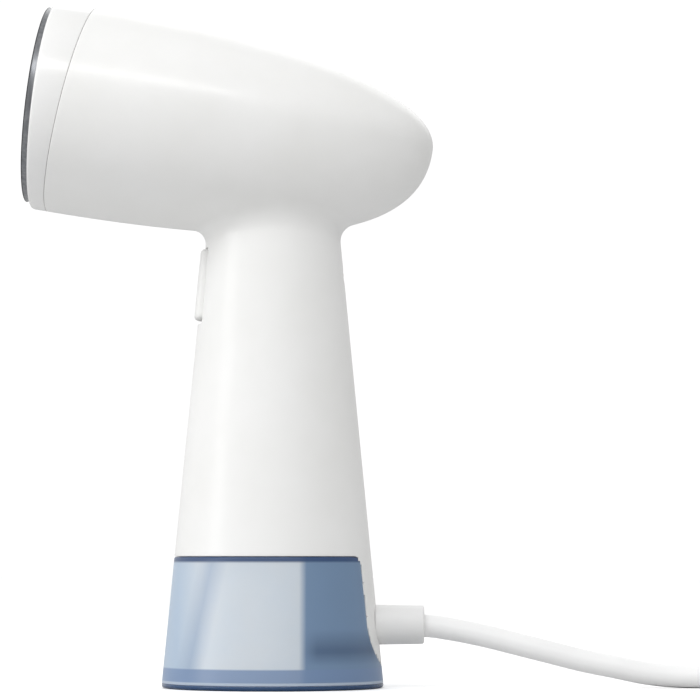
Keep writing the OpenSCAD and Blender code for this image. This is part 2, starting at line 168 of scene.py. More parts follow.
def rounded_profile(corners: Sequence[tuple[float, float, float]],
                    steps: int = 5) -> list[tuple[float, float]]:
    """Rounds the corners of an open outline.

    Args:
        corners: Each corner's two coordinates and its radius.
        steps: How many pieces each round has.

    Returns:
        The outline's points.
    """
    result: list[tuple[float, float]] = []
    for i, (x, y, radius) in enumerate(corners):
        if radius <= 0 or i in (0, len(corners) - 1):
            result.append((x, y))
            continue
        here = np.array((x, y))
        back = np.array(corners[i - 1][:2]) - here
        ahead = np.array(corners[i + 1][:2]) - here
        back, ahead = back / np.linalg.norm(back), ahead / np.linalg.norm(ahead)
        half = math.acos(float(np.clip(back @ ahead, -1, 1))) / 2
        reach = radius / math.tan(half)
        start, end = here + back * reach, here + ahead * reach
        for step in range(steps + 1):
            t = step / steps
            bend = (1 - t) ** 2 * start + 2 * t * (1 - t) * here + t * t * end
            result.append((float(bend[0]), float(bend[1])))
    return result


@dataclass
class Sheet:
    """An open surface that is trimmed to shape and then given a wall."""

    points: np.ndarray
    faces: list[tuple[int, ...]]

    def trim(self, planes: Sequence[tuple[Sequence[float], Sequence[float]]],
             drop: Callable[[np.ndarray], np.ndarray],
             near: Callable[[np.ndarray], np.ndarray] | None = None) -> "Sheet":
        """Splits the faces along planes and then drops the unwanted ones.

        Args:
            planes: A point and a normal for each cutting plane.
            drop: Says for an array of face centres which of them go.
            near: Says for an array of face centres which may be split.

        Returns:
            The same sheet, trimmed.
        """
        shape = bmesh.new()
        shape.from_mesh(self._mesh())
        pool = list(shape.faces)
        if near is not None:
            centres = np.array([f.calc_center_median() for f in pool])
            pool = [f for f, wanted in zip(pool, near(centres)) if wanted]
        for point, normal in planes:
            edges = {e for f in pool for e in f.edges}
            verts = {v for f in pool for v in f.verts}
            cut = bmesh.ops.bisect_plane(shape, geom=[*verts, *edges, *pool], dist=2e-6,
                                         plane_co=point, plane_no=normal)
            pool = [g for g in cut["geom"] if isinstance(g, bmesh.types.BMFace)]
        faces = list(shape.faces)
        gone = drop(np.array([f.calc_center_median() for f in faces]))
        bmesh.ops.delete(shape, geom=[f for f, out in zip(faces, gone) if out], context="FACES")
        bmesh.ops.remove_doubles(shape, verts=shape.verts, dist=4e-6)
        shape.verts.index_update()
        self.points = np.array([v.co for v in shape.verts])
        self.faces = [tuple(v.index for v in f.verts) for f in shape.faces]
        shape.free()
        return self

    def cut_outline(self, outline: Sequence[tuple[float, float]], axis: Axis,
                    near: Callable[[np.ndarray], np.ndarray]) -> "Sheet":
        """Cuts a convex hole of a given outline, straight along an axis.

        Args:
            outline: The hole's corners on the other two axes, anticlockwise.
            axis: The axis the cut runs along.
            near: Says for an array of face centres which the cut may reach.

        Returns:
            The same sheet, with the hole.
        """
        first, second = (axis.value + 1) % 3, (axis.value + 2) % 3
        corners = np.array(outline)
        planes, sides = [], []
        for here, after in zip(corners, np.roll(corners, -1, axis=0)):
            run = after - here
            point, normal = np.zeros(3), np.zeros(3)
            point[first], point[second] = here
            normal[first], normal[second] = run[1], -run[0]
            planes.append((point, normal / np.linalg.norm(run)))
            sides.append((here, np.array((run[1], -run[0]))))

        def inside(centres: np.ndarray) -> np.ndarray:
            """Says which centres lie within the outline."""
            result = near(centres)
            for here, out in sides:
                result &= (centres[:, [first, second]] - here) @ out < 0
            return result

        low, high = corners.min(axis=0) - 3 * MM, corners.max(axis=0) + 3 * MM

        def around(centres: np.ndarray) -> np.ndarray:
            """Says which centres lie near the outline."""
            flat = centres[:, [first, second]]
            return near(centres) & (flat > low).all(axis=1) & (flat < high).all(axis=1)

        return self.trim(planes, inside, around)

    def wall(self, lip: float, inner: np.ndarray | None = None,
             outwards: np.ndarray | None = None, depth: float = 2 * MM,
             steps: int = 3) -> tuple[np.ndarray, list[tuple[int, ...]]]:
        """Gives the sheet a wall, with every edge rounded over.

        Args:
            lip: The radius of the rounded edges, which reach out past the sheet by it.
            inner: Where each point lies on the inner face; a depth behind it if not given.
            outwards: The outward direction at each point; worked out if not given.
            depth: The wall's thickness, where inner isn't given.
            steps: How many pieces each rounded edge has.

        Returns:
            The points and faces of the closed shell.
        """
        points, faces = self.points, self.faces
        outwards = self._normals() if outwards is None else outwards
        inner = points - outwards * depth if inner is None else inner
        uses: dict[tuple[int, int], int] = {}
        for face in faces:
            for a, b in zip(face, face[1:] + face[:1]):
                uses[(a, b)] = uses.get((a, b), 0) + 1
        border = [(a, b) for a, b in uses if (b, a) not in uses]
        rim = sorted({v for edge in border for v in edge})
        place = {v: i for i, v in enumerate(rim)}
        reach = np.zeros((len(rim), 3))
        for a, b in border:
            side = np.cross(points[b] - points[a], outwards[a] + outwards[b])
            side /= max(np.linalg.norm(side), 1e-12)
            reach[place[a]] += side
            reach[place[b]] += side
        length = np.linalg.norm(reach, axis=1, keepdims=True)
        reach /= np.maximum(length, 1e-9)
        reach *= np.clip(2 / np.maximum(length, 1e-9), 1, 1.4)
        base, up = points[rim], outwards[rim]
        rings = [base + reach * lip * math.sin(a) - up * lip * (1 - math.cos(a))
                 for a in np.linspace(0, math.pi / 2, steps + 1)[1:]]
        rings.append(inner[rim] + reach * lip)
        count, size = len(points), len(rim)
        everything = np.vstack([points, inner, *rings])
        result = list(faces) + [tuple(count + v for v in reversed(face)) for face in faces]
        for a, b in border:
            i, j = place[a], place[b]
            chain = [(a, b)] + [(2 * count + k * size + i, 2 * count + k * size + j)
                                for k in range(len(rings))] + [(count + a, count + b)]
            result += [(b0, a0, a1, b1) for (a0, b0), (a1, b1) in zip(chain, chain[1:])]
        return everything, result

    def _mesh(self) -> bpy.types.Mesh:
        """The sheet as a plain mesh."""
        mesh = bpy.data.meshes.new("sheet")
        mesh.from_pydata([tuple(p) for p in self.points], [], self.faces)
        mesh.update()
        return mesh

    def _normals(self) -> np.ndarray:
        """The mean direction of the faces round each point."""
        mesh = self._mesh()
        result = np.zeros(3 * len(self.points))
        mesh.vertex_normals.foreach_get("vector", result)
        return result.reshape(-1, 3)


# ---- The steamer's outer form ----


@dataclass(frozen=True)
class HeadForm:
    """The head's shape along its own axis, from the soleplate's rim to the nose."""

    length: float = 122.5 * MM
    half_height: float = 32.5 * MM
    half_width: float = 39 * MM
    tilt: float = math.radians(7.5)
    nose_rise: float = 2 * MM
    rim: Point = (-71.75 * MM, 0, 181.75 * MM)
    samples: int = 400

    def curve(self, ends: Sequence[tuple[float, float]]) -> np.ndarray:
        """Points along a cubic curve given by its four control points."""
        t = np.linspace(0, 1, self.samples)[:, None]
        a, b, c, d = (np.array(p, float) for p in ends)
        return (1 - t) ** 3 * a + 3 * (1 - t) ** 2 * t * b + 3 * (1 - t) * t * t * c + t ** 3 * d

    @lru_cache(maxsize=None)
    def outlines(self) -> tuple[np.ndarray, np.ndarray, np.ndarray]:
        """The upper outline, the lower outline and the half-width along the axis."""
        h, w, n, rise = self.half_height, self.half_width, self.length, self.nose_rise
        top = self.curve([(0, h), (0.66 * n, 0.97 * h), (n, 0.54 * h), (n, rise)])
        bottom = self.curve([(0, -h), (0.64 * n, -1.1 * h), (n, -0.86 * h), (n, rise)])
        side = self.curve([(0, w), (0.65 * n, w), (n, 0.7 * w), (n, 0)])
        return top, bottom, side

    @lru_cache(maxsize=None)
    def tables(self) -> tuple[np.ndarray, ...]:
        """How steeply the level rises above, below and across the ridge, along the axis."""
        result = []
        for outline in self.outlines():
            along, reach = outline[:-1, 0], outline[:-1, 1]
            if outline is not self.outlines()[2]:
                reach = reach - self.ridge(along)
            result += [along, (self.length - along) / reach ** 2]
        return tuple(result)

    def to_local(self, points: np.ndarray) -> np.ndarray:
        """Turns row points into (along the axis, across, up the soleplate)."""
        p = points - np.array(self.rim)
        c, s = math.cos(self.tilt), math.sin(self.tilt)
        return np.stack([p[:, 0] * c - p[:, 2] * s, p[:, 1], p[:, 0] * s + p[:, 2] * c], axis=1)

    def to_row(self, local: np.ndarray) -> np.ndarray:
        """Turns (along the axis, across, up the soleplate) into row points."""
        c, s = math.cos(self.tilt), math.sin(self.tilt)
        x = local[:, 0] * c + local[:, 2] * s
        z = local[:, 2] * c - local[:, 0] * s
        return np.stack([x, local[:, 1], z], axis=1) + np.array(self.rim)

    def ridge(self, along: np.ndarray) -> np.ndarray:
        """The height of the widest line of the head."""
        return self.nose_rise * along / self.length

    def section(self, along: np.ndarray) -> tuple[np.ndarray, np.ndarray, np.ndarray]:
        """The heights above and below the ridge, and the half-width, at each distance."""
        top, bottom, side = self.outlines()
        middle = self.ridge(along)
        up = np.interp(along, top[:, 0], top[:, 1]) - middle
        down = middle - np.interp(along, bottom[:, 0], bottom[:, 1])
        return up, down, np.interp(along, side[:, 0], side[:, 1])

    def level(self, points: np.ndarray) -> np.ndarray:
        """A smooth measure that is below 0 inside the head and 0 on its skin."""
        local = self.to_local(points)
        left = self.length - local[:, 0]
        x0, top, x1, bottom, x2, side = self.tables()
        above = np.interp(local[:, 0], x0, top)
        below = np.interp(local[:, 0], x1, bottom)
        wide = np.interp(local[:, 0], x2, side)
        rise = local[:, 2] - self.ridge(np.minimum(local[:, 0], self.length))
        tall = np.where(rise > 0, above, below)
        return rise ** 2 * tall + local[:, 1] ** 2 * wide - left


@dataclass(frozen=True)
class OvalForm:
    """The tapering oval of the handle and the tank, standing on Z = 0."""

    foot: float = 34.5 * MM
    neck: float = 21 * MM
    neck_z: float = 139.5 * MM
    ratio: float = 0.88
    top: float = 162 * MM

    def radius(self, z: np.ndarray | float) -> np.ndarray | float:
        """Half the oval's depth at a height."""
        return self.foot - z * (self.foot - self.neck) / self.neck_z

    def level(self, points: np.ndarray) -> np.ndarray:
        """A smooth measure that is below 0 inside the handle and 0 on its skin."""
        around = np.hypot(points[:, 0], points[:, 1] / self.ratio)
        return np.maximum(around - self.radius(points[:, 2]), points[:, 2] - self.top)

    def normal(self, points: np.ndarray) -> np.ndarray:
        """The outward direction at each point on the tapering side."""
        taper = (self.foot - self.neck) / self.neck_z
        around = np.hypot(points[:, 0], points[:, 1] / self.ratio)
        result = np.stack([points[:, 0] / around, points[:, 1] / (self.ratio ** 2 * around),
                           np.full(len(points), taper)], axis=1)
        return result / np.linalg.norm(result, axis=1, keepdims=True)

    def ring(self, z: float, inset: float = 0, sides: int = 256) -> np.ndarray:
        """The oval's outline at a height, drawn in by an inset."""
        a = np.linspace(0, 2 * math.pi, sides, endpoint=False)
        deep = self.radius(z) - inset
        wide = self.ratio * self.radius(z) - inset
        return np.stack([deep * np.cos(a), wide * np.sin(a), np.full(sides, z)], axis=1)


@dataclass(frozen=True)
class BodyForm:
    """The head and the handle, flowing together through a fillet."""

    head: HeadForm = HeadForm()
    oval: OvalForm = OvalForm()
    fillet: float = 4.6 * MM
    probe: float = 0.02 * MM

    def _near(self, level: Callable[[np.ndarray], np.ndarray], points: np.ndarray) -> np.ndarray:
        """Turns a level into a distance, by dividing it by its slope."""
        value = level(points)
        slope = np.zeros(len(points))
        for axis in range(3):
            step = np.zeros(3)
            step[axis] = self.probe
            slope += ((level(points + step) - level(points - step)) / (2 * self.probe)) ** 2
        return value / np.sqrt(np.maximum(slope, 1e-12))

    def distance(self, points: np.ndarray) -> np.ndarray:
        """The distance from the filleted skin, below 0 inside."""
        one = self._near(self.head.level, points)
        two = self._near(self.oval.level, points)
        r = self.fillet
        both = np.hypot(np.maximum(r - one, 0), np.maximum(r - two, 0))
        return np.maximum(r, np.minimum(one, two)) - both

    def normal(self, points: np.ndarray) -> np.ndarray:
        """The outward direction at each point."""
        result = np.zeros_like(points)
        for axis in range(3):
            step = np.zeros(3)
            step[axis] = self.probe
            result[:, axis] = self.distance(points + step) - self.distance(points - step)
        return result / np.maximum(np.linalg.norm(result, axis=1, keepdims=True), 1e-12)

    def settle(self, points: np.ndarray, rounds: int = 3) -> np.ndarray:
        """Moves points onto the skin."""
        for _ in range(rounds):
            points = points - self.normal(points) * self.distance(points)[:, None]
        return points

    def mesh(self, step: float) -> Sheet:
        """The whole closed skin as an even net of four-sided faces.

        Args:
            step: The size of the faces.

        Returns:
            The skin, settled onto the true form.
        """
        low = np.array((-80, -43.2, -6)) * MM
        high = np.array((56, 43.2, 220)) * MM
        axes = [np.arange(a, b, step) for a, b in zip(low, high)]
        grid = np.stack(np.meshgrid(*axes, indexing="ij"), axis=-1)
        flat = grid.reshape(-1, 3)
        level = np.minimum(self.head.level(flat), self.oval.level(flat))
        head_start = self.head.to_local(flat)[:, 0] < -4 * MM
        level = np.where(head_start, self.oval.level(flat), level)
        level = np.where(flat[:, 2] < -3 * MM, 1.0, level)
        inside = (level < 0).reshape(grid.shape[:3])
        count = np.zeros(tuple(n - 1 for n in inside.shape), int)
        for i in (0, 1):
            for j in (0, 1):
                for k in (0, 1):
                    count += inside[i:i + count.shape[0], j:j + count.shape[1], k:k + count.shape[2]]
        crossed = (count > 0) & (count < 8)
        index = np.full(crossed.shape, -1)
        index[crossed] = np.arange(crossed.sum())
        points = grid[:-1, :-1, :-1][crossed] + step / 2
        quads = []
        for axis in range(3):
            near, far = [slice(None)] * 3, [slice(None)] * 3
            near[axis], far[axis] = slice(0, -1), slice(1, None)
            change = inside[tuple(near)] != inside[tuple(far)]
            spots = np.argwhere(change)
            second, third = (axis + 1) % 3, (axis + 2) % 3
            spots = spots[(spots[:, second] > 0) & (spots[:, third] > 0)
                          & (spots[:, second] < index.shape[second])
                          & (spots[:, third] < index.shape[third])]
            corners = []
            for move_second, move_third in ((-1, -1), (0, -1), (0, 0), (-1, 0)):
                cell = spots.copy()
                cell[:, second] += move_second
                cell[:, third] += move_third
                corners.append(index[tuple(cell.T)])
            quad = np.stack(corners, axis=1)
            outward = inside[tuple(spots.T)]
            quads.append(np.where(outward[:, None], quad, quad[:, ::-1]))
        faces = np.vstack(quads)
        edges = np.vstack([faces[:, [0, 1]], faces[:, [1, 2]], faces[:, [2, 3]], faces[:, [3, 0]]])
        for _ in range(8):
            total, uses = np.zeros_like(points), np.zeros(len(points))
            np.add.at(total, edges[:, 0], points[edges[:, 1]])
            np.add.at(uses, edges[:, 0], 1)
            drift = total / uses[:, None] - points
            normal = self.normal(points)
            drift -= normal * (drift * normal).sum(axis=1, keepdims=True)
            points = self.settle(points + 0.6 * drift, 1)
        return Sheet(self.settle(points), [tuple(int(v) for v in f) for f in faces])


FORM = BodyForm()


def ellipse_points(centre: tuple[float, float], radii: tuple[float, float],
                   sides: int) -> list[tuple[float, float]]:
    """The corners of an ellipse, anticlockwise."""
    turn = [2 * math.pi * i / sides for i in range(sides)]
    return [(centre[0] + radii[0] * math.cos(a), centre[1] + radii[1] * math.sin(a)) for a in turn]


def within(outline: Sequence[tuple[float, float]], flat: np.ndarray) -> np.ndarray:
    """Says which flat points lie within a convex, anticlockwise outline."""
    corners = np.array(outline)
    result = np.ones(len(flat), bool)
    for here, after in zip(corners, np.roll(corners, -1, axis=0)):
        run = after - here
        result &= (flat - here) @ np.array((run[1], -run[0])) < 0
    return result


def prism(outline: Sequence[tuple[float, float]], axis: Axis, low: float, high: float,
          bevel: float = 0.0) -> tuple[np.ndarray, list[tuple[int, ...]]]:
    """Extrudes a convex outline along an axis, with its two ends bevelled.

    Args:
        outline: Its corners on the other two axes, anticlockwise.
        axis: The axis it runs along.
        low: Where it starts.
        high: Where it ends.
        bevel: How far each end's edge is drawn in.

    Returns:
        The points and the faces.
    """
    corners = np.array(outline)
    middle = corners.mean(axis=0)
    reach = np.linalg.norm(corners - middle, axis=1).max()
    rings = []
    for along, inset in ((low, bevel), (low + bevel, 0), (high - bevel, 0), (high, bevel)):
        ring = np.zeros((len(corners), 3))
        ring[:, axis.value] = along
        flat = middle + (corners - middle) * (1 - inset / reach)
        ring[:, (axis.value + 1) % 3], ring[:, (axis.value + 2) % 3] = flat[:, 0], flat[:, 1]
        rings.append(ring)
    return loft(rings if bevel else [rings[0], rings[-1]])


def rounded_outline(corners: Sequence[tuple[float, float]], radius: float,
                    steps: int = 4) -> list[tuple[float, float]]:
    """Rounds every corner of a closed outline."""
    ring = [(x, y, radius) for x, y in corners]
    result: list[tuple[float, float]] = []
    for i, corner in enumerate(ring):
        result += rounded_profile([ring[i - 1], corner, ring[(i + 1) % len(ring)]], steps)[1:-1]
    return result


def together(parts: Sequence[tuple[np.ndarray, list[tuple[int, ...]]]]
             ) -> tuple[np.ndarray, list[tuple[int, ...]]]:
    """Puts several closed shapes into one mesh."""
    points, faces, count = [], [], 0
    for part_points, part_faces in parts:
        points.append(part_points)
        faces += [tuple(v + count for v in face) for face in part_faces]
        count += len(part_points)
    return np.vstack(points), faces


def tube_between(inner: float, outer: float, low: float, high: float, axis: Axis,
                 centre: Point, sides: int = 40) -> tuple[np.ndarray, list[tuple[int, ...]]]:
    """A plain sleeve along an axis, as a closed shape."""
    angles = np.linspace(0, 2 * math.pi, sides, endpoint=False)
    rings = []
    for along, radius in ((low, inner), (low, outer), (high, outer), (high, inner)):
        ring = np.zeros((sides, 3))
        ring[:, axis.value] = along
        ring[:, (axis.value + 1) % 3] = radius * np.cos(angles)
        ring[:, (axis.value + 2) % 3] = radius * np.sin(angles)
        rings.append(ring + np.array(centre))
    return loft(rings, closed=True)


# ---- Finishes ----


Colour = tuple[float, float, float]


def srgb(red: int, green: int, blue: int) -> Colour:
    """A colour given in the usual 0 to 255 steps, as linear light."""
    def step(value: int) -> float:
        """One channel, as linear light."""
        share = value / 255
        return share / 12.92 if share <= 0.04045 else ((share + 0.055) / 1.055) ** 2.4
    return step(red), step(green), step(blue)


@dataclass
class NodeBench:
    """Lays shader nodes into one tree."""

    tree: bpy.types.NodeTree

    def add(self, kind: str, settings: dict[str, object] | None = None,
            **inputs: object) -> bpy.types.Node:
        """Adds a node, with its settings and its inputs.

        Args:
            kind: The node's type.
            settings: Values for its own properties.
            inputs: For each input, with _ for a space, a socket to link or a value.

        Returns:
            The new node.
        """
        node = self.tree.nodes.new(kind)
        for name, value in (settings or {}).items():
            setattr(node, name, value)
        for name, value in inputs.items():
            key = int(name[1:]) if name[0] == "i" and name[1:].isdigit() else name.replace("_", " ")
            if isinstance(value, bpy.types.NodeSocket):
                self.tree.links.new(value, node.inputs[key])
            else:
                node.inputs[key].default_value = value
        return node

    def math(self, operation: str, first: object, second: object = 0.5) -> bpy.types.NodeSocket:
        """Adds a Math node and gives its result."""
        return self.add("ShaderNodeMath", {"operation": operation}, i0=first, i1=second).outputs[0]

    def noise(self, vector: object, scale: object, detail: float = 2.0) -> bpy.types.NodeSocket:
        """Adds a Noise Texture and gives its value."""
        return self.add("ShaderNodeTexNoise", None, Vector=vector, Scale=scale, Detail=detail,
                        Roughness=0.55).outputs[0]

    def stretched(self, vector: object, scale: Point) -> bpy.types.NodeSocket:
        """Scales a pattern's coordinates by a different amount on each axis."""
        return self.add("ShaderNodeMapping", None, Vector=vector, Scale=scale).outputs[0]

    def mix(self, share: object, first: object, second: object) -> bpy.types.NodeSocket:
        """Mixes two colours, given as sockets or as plain colours, by a share from 0 to 1."""
        first, second = ((*c, 1.0) if isinstance(c, tuple) else c for c in (first, second))
        return self.add("ShaderNodeMix", {"data_type": "RGBA"}, Factor=share, i6=first,
                        i7=second).outputs[2]

    def band(self, value: object, low: float, high: float) -> bpy.types.NodeSocket:
        """Turns the stretch from low to high into 0 to 1, and stops outside it."""
        return self.add("ShaderNodeMapRange", None, Value=value, From_Min=low, From_Max=high).outputs[0]


class Pattern(Enum):
    """What a material's surface is like close up."""

    MOULDED = "moulded_grain"
    BRUSHED = "brushed_grain"
    CAST = "cast_grain"
    WOVEN = "woven_grain"
    WOUND = "wound_grain"


def _moulded(bench: NodeBench, vector: object, scale: object) -> tuple[object, object, object]:
    """Spark-eroded plastic: a fine even grain under faint handling marks."""
    fine = bench.noise(vector, scale, 3.0)
    broad = bench.noise(vector, bench.math("MULTIPLY", scale, 0.02), 3.0)
    marks = bench.noise(bench.stretched(vector, (1.0, 1.0, 0.3)), bench.math("MULTIPLY", scale, 0.08), 2.0)
    return fine, bench.band(broad, 0.35, 0.75), bench.band(marks, 0.3, 0.7)


def _brushed(bench: NodeBench, vector: object, scale: object) -> tuple[object, object, object]:
    """Metal brushed along Z, with small pits between the lines."""
    lines = bench.noise(bench.stretched(vector, (1.0, 1.0, 0.04)), scale, 4.0)
    pits = bench.noise(vector, bench.math("MULTIPLY", scale, 0.7), 2.0)
    broad = bench.noise(vector, bench.math("MULTIPLY", scale, 0.03), 2.0)
    height = bench.math("ADD", bench.math("MULTIPLY", lines, 0.8), bench.math("MULTIPLY", pits, 0.2))
    return height, bench.band(lines, 0.3, 0.75), bench.band(broad, 0.3, 0.7)


def _cast(bench: NodeBench, vector: object, scale: object) -> tuple[object, object, object]:
    """A die casting's orange peel, with cooler and hotter patches."""
    peel = bench.add("ShaderNodeTexVoronoi", None, Vector=vector, Scale=scale).outputs[0]
    broad = bench.noise(vector, bench.math("MULTIPLY", scale, 0.1), 3.0)
    fine = bench.noise(vector, bench.math("MULTIPLY", scale, 2.0), 2.0)
    return bench.math("ADD", peel, fine), bench.band(broad, 0.35, 0.7), bench.band(fine, 0.3, 0.7)


def _woven(bench: NodeBench, vector: object, scale: object) -> tuple[object, object, object]:
    """A tape's close plain weave."""
    settings = {"wave_type": "BANDS", "bands_direction": "X"}
    warp = bench.add("ShaderNodeTexWave", settings, Vector=vector, Scale=scale, Distortion=0.6)
    settings = {"wave_type": "BANDS", "bands_direction": "Z"}
    weft = bench.add("ShaderNodeTexWave", settings, Vector=vector, Scale=scale, Distortion=0.6)
    height = bench.math("MULTIPLY", warp.outputs[1], weft.outputs[1])
    broad = bench.noise(vector, bench.math("MULTIPLY", scale, 0.1), 2.0)
    return height, height, bench.band(broad, 0.3, 0.7)


def _wound(bench: NodeBench, vector: object, scale: object) -> tuple[object, object, object]:
    """Close turns of wire or tape, stacked along Z."""
    settings = {"wave_type": "BANDS", "bands_direction": "Z"}
    turns = bench.add("ShaderNodeTexWave", settings, Vector=vector, Scale=scale, Distortion=0.3)
    broad = bench.noise(vector, bench.math("MULTIPLY", scale, 0.1), 2.0)
    return turns.outputs[1], turns.outputs[1], bench.band(broad, 0.3, 0.7)


PATTERNS: dict[Pattern, Callable[..., tuple[object, object, object]]] = {
    Pattern.MOULDED: _moulded, Pattern.BRUSHED: _brushed, Pattern.CAST: _cast,
    Pattern.WOVEN: _woven, Pattern.WOUND: _wound}


def pattern_group(pattern: Pattern) -> bpy.types.NodeTree:
    """Gives a pattern's node group, which is built once.

    Args:
        pattern: Which surface it makes.

    Returns:
        A group with Vector and Scale inputs and Height, Tone and Gloss outputs.
    """
    if pattern.value in bpy.data.node_groups:
        return bpy.data.node_groups[pattern.value]
    group = bpy.data.node_groups.new(pattern.value, "ShaderNodeTree")
    group.interface.new_socket("Vector", in_out="INPUT", socket_type="NodeSocketVector")
    group.interface.new_socket("Scale", in_out="INPUT", socket_type="NodeSocketFloat")
    for name in ("Height", "Tone", "Gloss"):
        group.interface.new_socket(name, in_out="OUTPUT", socket_type="NodeSocketFloat")
    bench = NodeBench(group)
    start = bench.add("NodeGroupInput")
    height, tone, gloss = PATTERNS[pattern](bench, start.outputs[0], start.outputs[1])
    bench.add("NodeGroupOutput", None, Height=height, Tone=tone, Gloss=gloss)
    return group


def wear_and_shade_group() -> bpy.types.NodeTree:
    """Gives the node group that finds worn edges, and the hollows that get painted shade, built once."""
    name = "edge_wear"
    if name in bpy.data.node_groups:
        return bpy.data.node_groups[name]
    group = bpy.data.node_groups.new(name, "ShaderNodeTree")
    group.interface.new_socket("Vector", in_out="INPUT", socket_type="NodeSocketVector")
    group.interface.new_socket("Edge", in_out="OUTPUT", socket_type="NodeSocketFloat")
    group.interface.new_socket("Hollow", in_out="OUTPUT", socket_type="NodeSocketFloat")
    bench = NodeBench(group)
    start = bench.add("NodeGroupInput")
    point = bench.add("ShaderNodeNewGeometry").outputs["Pointiness"]
    rough = bench.noise(start.outputs[0], 900.0, 3.0)
    bent = bench.math("ADD", point, bench.math("MULTIPLY", rough, 0.03))
    bench.add("NodeGroupOutput", None, Edge=bench.band(bent, 0.56, 0.66),
              # The hollow output rises in concave places, by pointiness, and marks where shade is painted
              # in.
              Hollow=bench.band(point, 0.47, 0.40))
    return group


@dataclass(frozen=True)
class Finish:
    """One material: its colours, its gloss and the pattern of its surface."""

    colour: Colour
    second: Colour
    pattern: Pattern = Pattern.MOULDED
    scale: float = 2600.0
    depth: float = 0.012 * MM
    roughness: float = 0.4
    spread: float = 0.08
    metallic: float = 0.0
    coat: float = 0.0
    transmission: float = 0.0
    subsurface: float = 0.0
    sheen: float = 0.0
    ior: float = 1.5
    # Scales both the polish on worn edges and the painted shade in hollows.
    wear: float = 0.25
    glow: float = 0.0

    def colours(self, bench: NodeBench, tone: object, vector: object) -> object:
        """Mixes the two colours by the pattern's tone."""
        return bench.mix(tone, self.colour, self.second)

    def build(self, name: str) -> bpy.types.Material:
        """Builds the material.

        Args:
            name: The name of the record's slot that it finishes.

        Returns:
            The material.
        """
        material = bpy.data.materials.new(f"finish_{name}")
        material.use_nodes = True
        bench = NodeBench(material.node_tree)
        material.node_tree.nodes.clear()
        vector = bench.add("ShaderNodeTexCoord").outputs["Object"]
        surface = bench.add("ShaderNodeGroup", {"node_tree": pattern_group(self.pattern)})
        bench.tree.links.new(vector, surface.inputs["Vector"])
        surface.inputs["Scale"].default_value = self.scale
        wear_shade_nodes = bench.add("ShaderNodeGroup", {"node_tree": wear_and_shade_group()})
        bench.tree.links.new(vector, wear_shade_nodes.inputs["Vector"])
        height, tone, gloss = surface.outputs
        base = self.colours(bench, tone, vector)
        # Painted shade: the colour darkens in concave hollows, towards a dark copy of the second colour.
        hollow_shade = bench.math("MULTIPLY", wear_shade_nodes.outputs["Hollow"], 0.5 * self.wear)
        base = bench.mix(hollow_shade, base, tuple(0.55 * c for c in self.second))
        rough = bench.add("ShaderNodeMapRange", None, Value=gloss, To_Min=self.roughness - self.spread,
                          To_Max=self.roughness + self.spread).outputs[0]
        polish = bench.math("MULTIPLY", wear_shade_nodes.outputs["Edge"], -0.3 * self.wear * self.roughness)
        rough = bench.math("MAXIMUM", bench.math("ADD", rough, polish), 0.03)
        bump = bench.add("ShaderNodeBump", None, Height=height, Distance=self.depth, Strength=1.0)
        shader = bench.add("ShaderNodeBsdfPrincipled", None, Base_Color=base, Roughness=rough,
                           Normal=bump.outputs[0], Metallic=self.metallic, IOR=self.ior,
                           Coat_Weight=self.coat, Transmission_Weight=self.transmission,
                           Subsurface_Weight=self.subsurface, Sheen_Weight=self.sheen)
        shader.inputs["Coat Roughness"].default_value = 0.12
        shader.inputs["Subsurface Scale"].default_value = 2 * MM
        if self.glow:
            shader.inputs["Emission Color"].default_value = (*self.colour, 1.0)
            shader.inputs["Emission Strength"].default_value = self.glow
        out = bench.add("ShaderNodeOutputMaterial", None, Surface=shader.outputs[0])
        self.finish(bench, out, vector)
        return material

    def finish(self, bench: NodeBench, out: bpy.types.Node, vector: object) -> None:
        """Adds what only this kind of finish has."""


@dataclass(frozen=True)
class PaintedLightAndShade:
    """A soft region of another colour, painted in by position as shade and as highlight, where all its ramps
    are high.

    Each ramp is a share of x, a share of z, and where their sum starts and ends the rise, in mm.
    """

    colour: Colour
    weight: float
    ramps: tuple[tuple[float, float, float, float], ...]


@dataclass(frozen=True)
class TintedFinish(Finish):
    """Translucent plastic whose blue deepens with the thickness that light crosses, with bands of painted
    shade and painted highlight laid over its colour by position.
    """

    tint: Colour = srgb(120, 176, 232)
    density: float = 120.0
    # Bands of painted shade and painted highlight, laid onto the colour by position.
    painted_light_and_shade: tuple[PaintedLightAndShade, ...] = ()

    def colours(self, bench: NodeBench, tone: object, vector: object) -> object:
        """Mixes the two colours by the tone, and lays the bands of painted shade and painted highlight over
        them.
        """
        base = super().colours(bench, tone, vector)
        along, _, up = bench.add("ShaderNodeSeparateXYZ", None, Vector=vector).outputs
        for painted_band in self.painted_light_and_shade:
            # Each band paints its shade, or its highlight, onto the colour by where it lies on the piece.
            share = painted_band.weight
            for x_share, z_share, start, full in painted_band.ramps:
                place = bench.math("ADD", bench.math("MULTIPLY", along, x_share),
                                   bench.math("MULTIPLY", up, z_share))
                share = bench.math("MULTIPLY", bench.band(place, start * MM, full * MM), share)
            base = bench.mix(share, base, painted_band.colour)
        return base

    def finish(self, bench: NodeBench, out: bpy.types.Node, vector: object) -> None:
        """Adds the tint that the light takes on inside the plastic."""
        inside = bench.add("ShaderNodeVolumeAbsorption")
        inside.inputs["Color"].default_value = (*self.tint, 1.0)
        inside.inputs["Density"].default_value = self.density
        bench.tree.links.new(inside.outputs[0], out.inputs["Volume"])


WHITE = srgb(243, 243, 242)
CREAM = srgb(238, 238, 236)


def steel(bright: int, dull: int, scale: float, depth: float, roughness: float, spread: float = 0.06,
          wear: float = 0.25) -> Finish:
    """Brushed steel, between a bright grey and a dull one, both a little blue."""
    return Finish(srgb(bright, bright + 2, bright + 4), srgb(dull, dull + 2, dull + 6), Pattern.BRUSHED,
                  scale, depth * MM, roughness, spread, metallic=1.0, wear=wear)


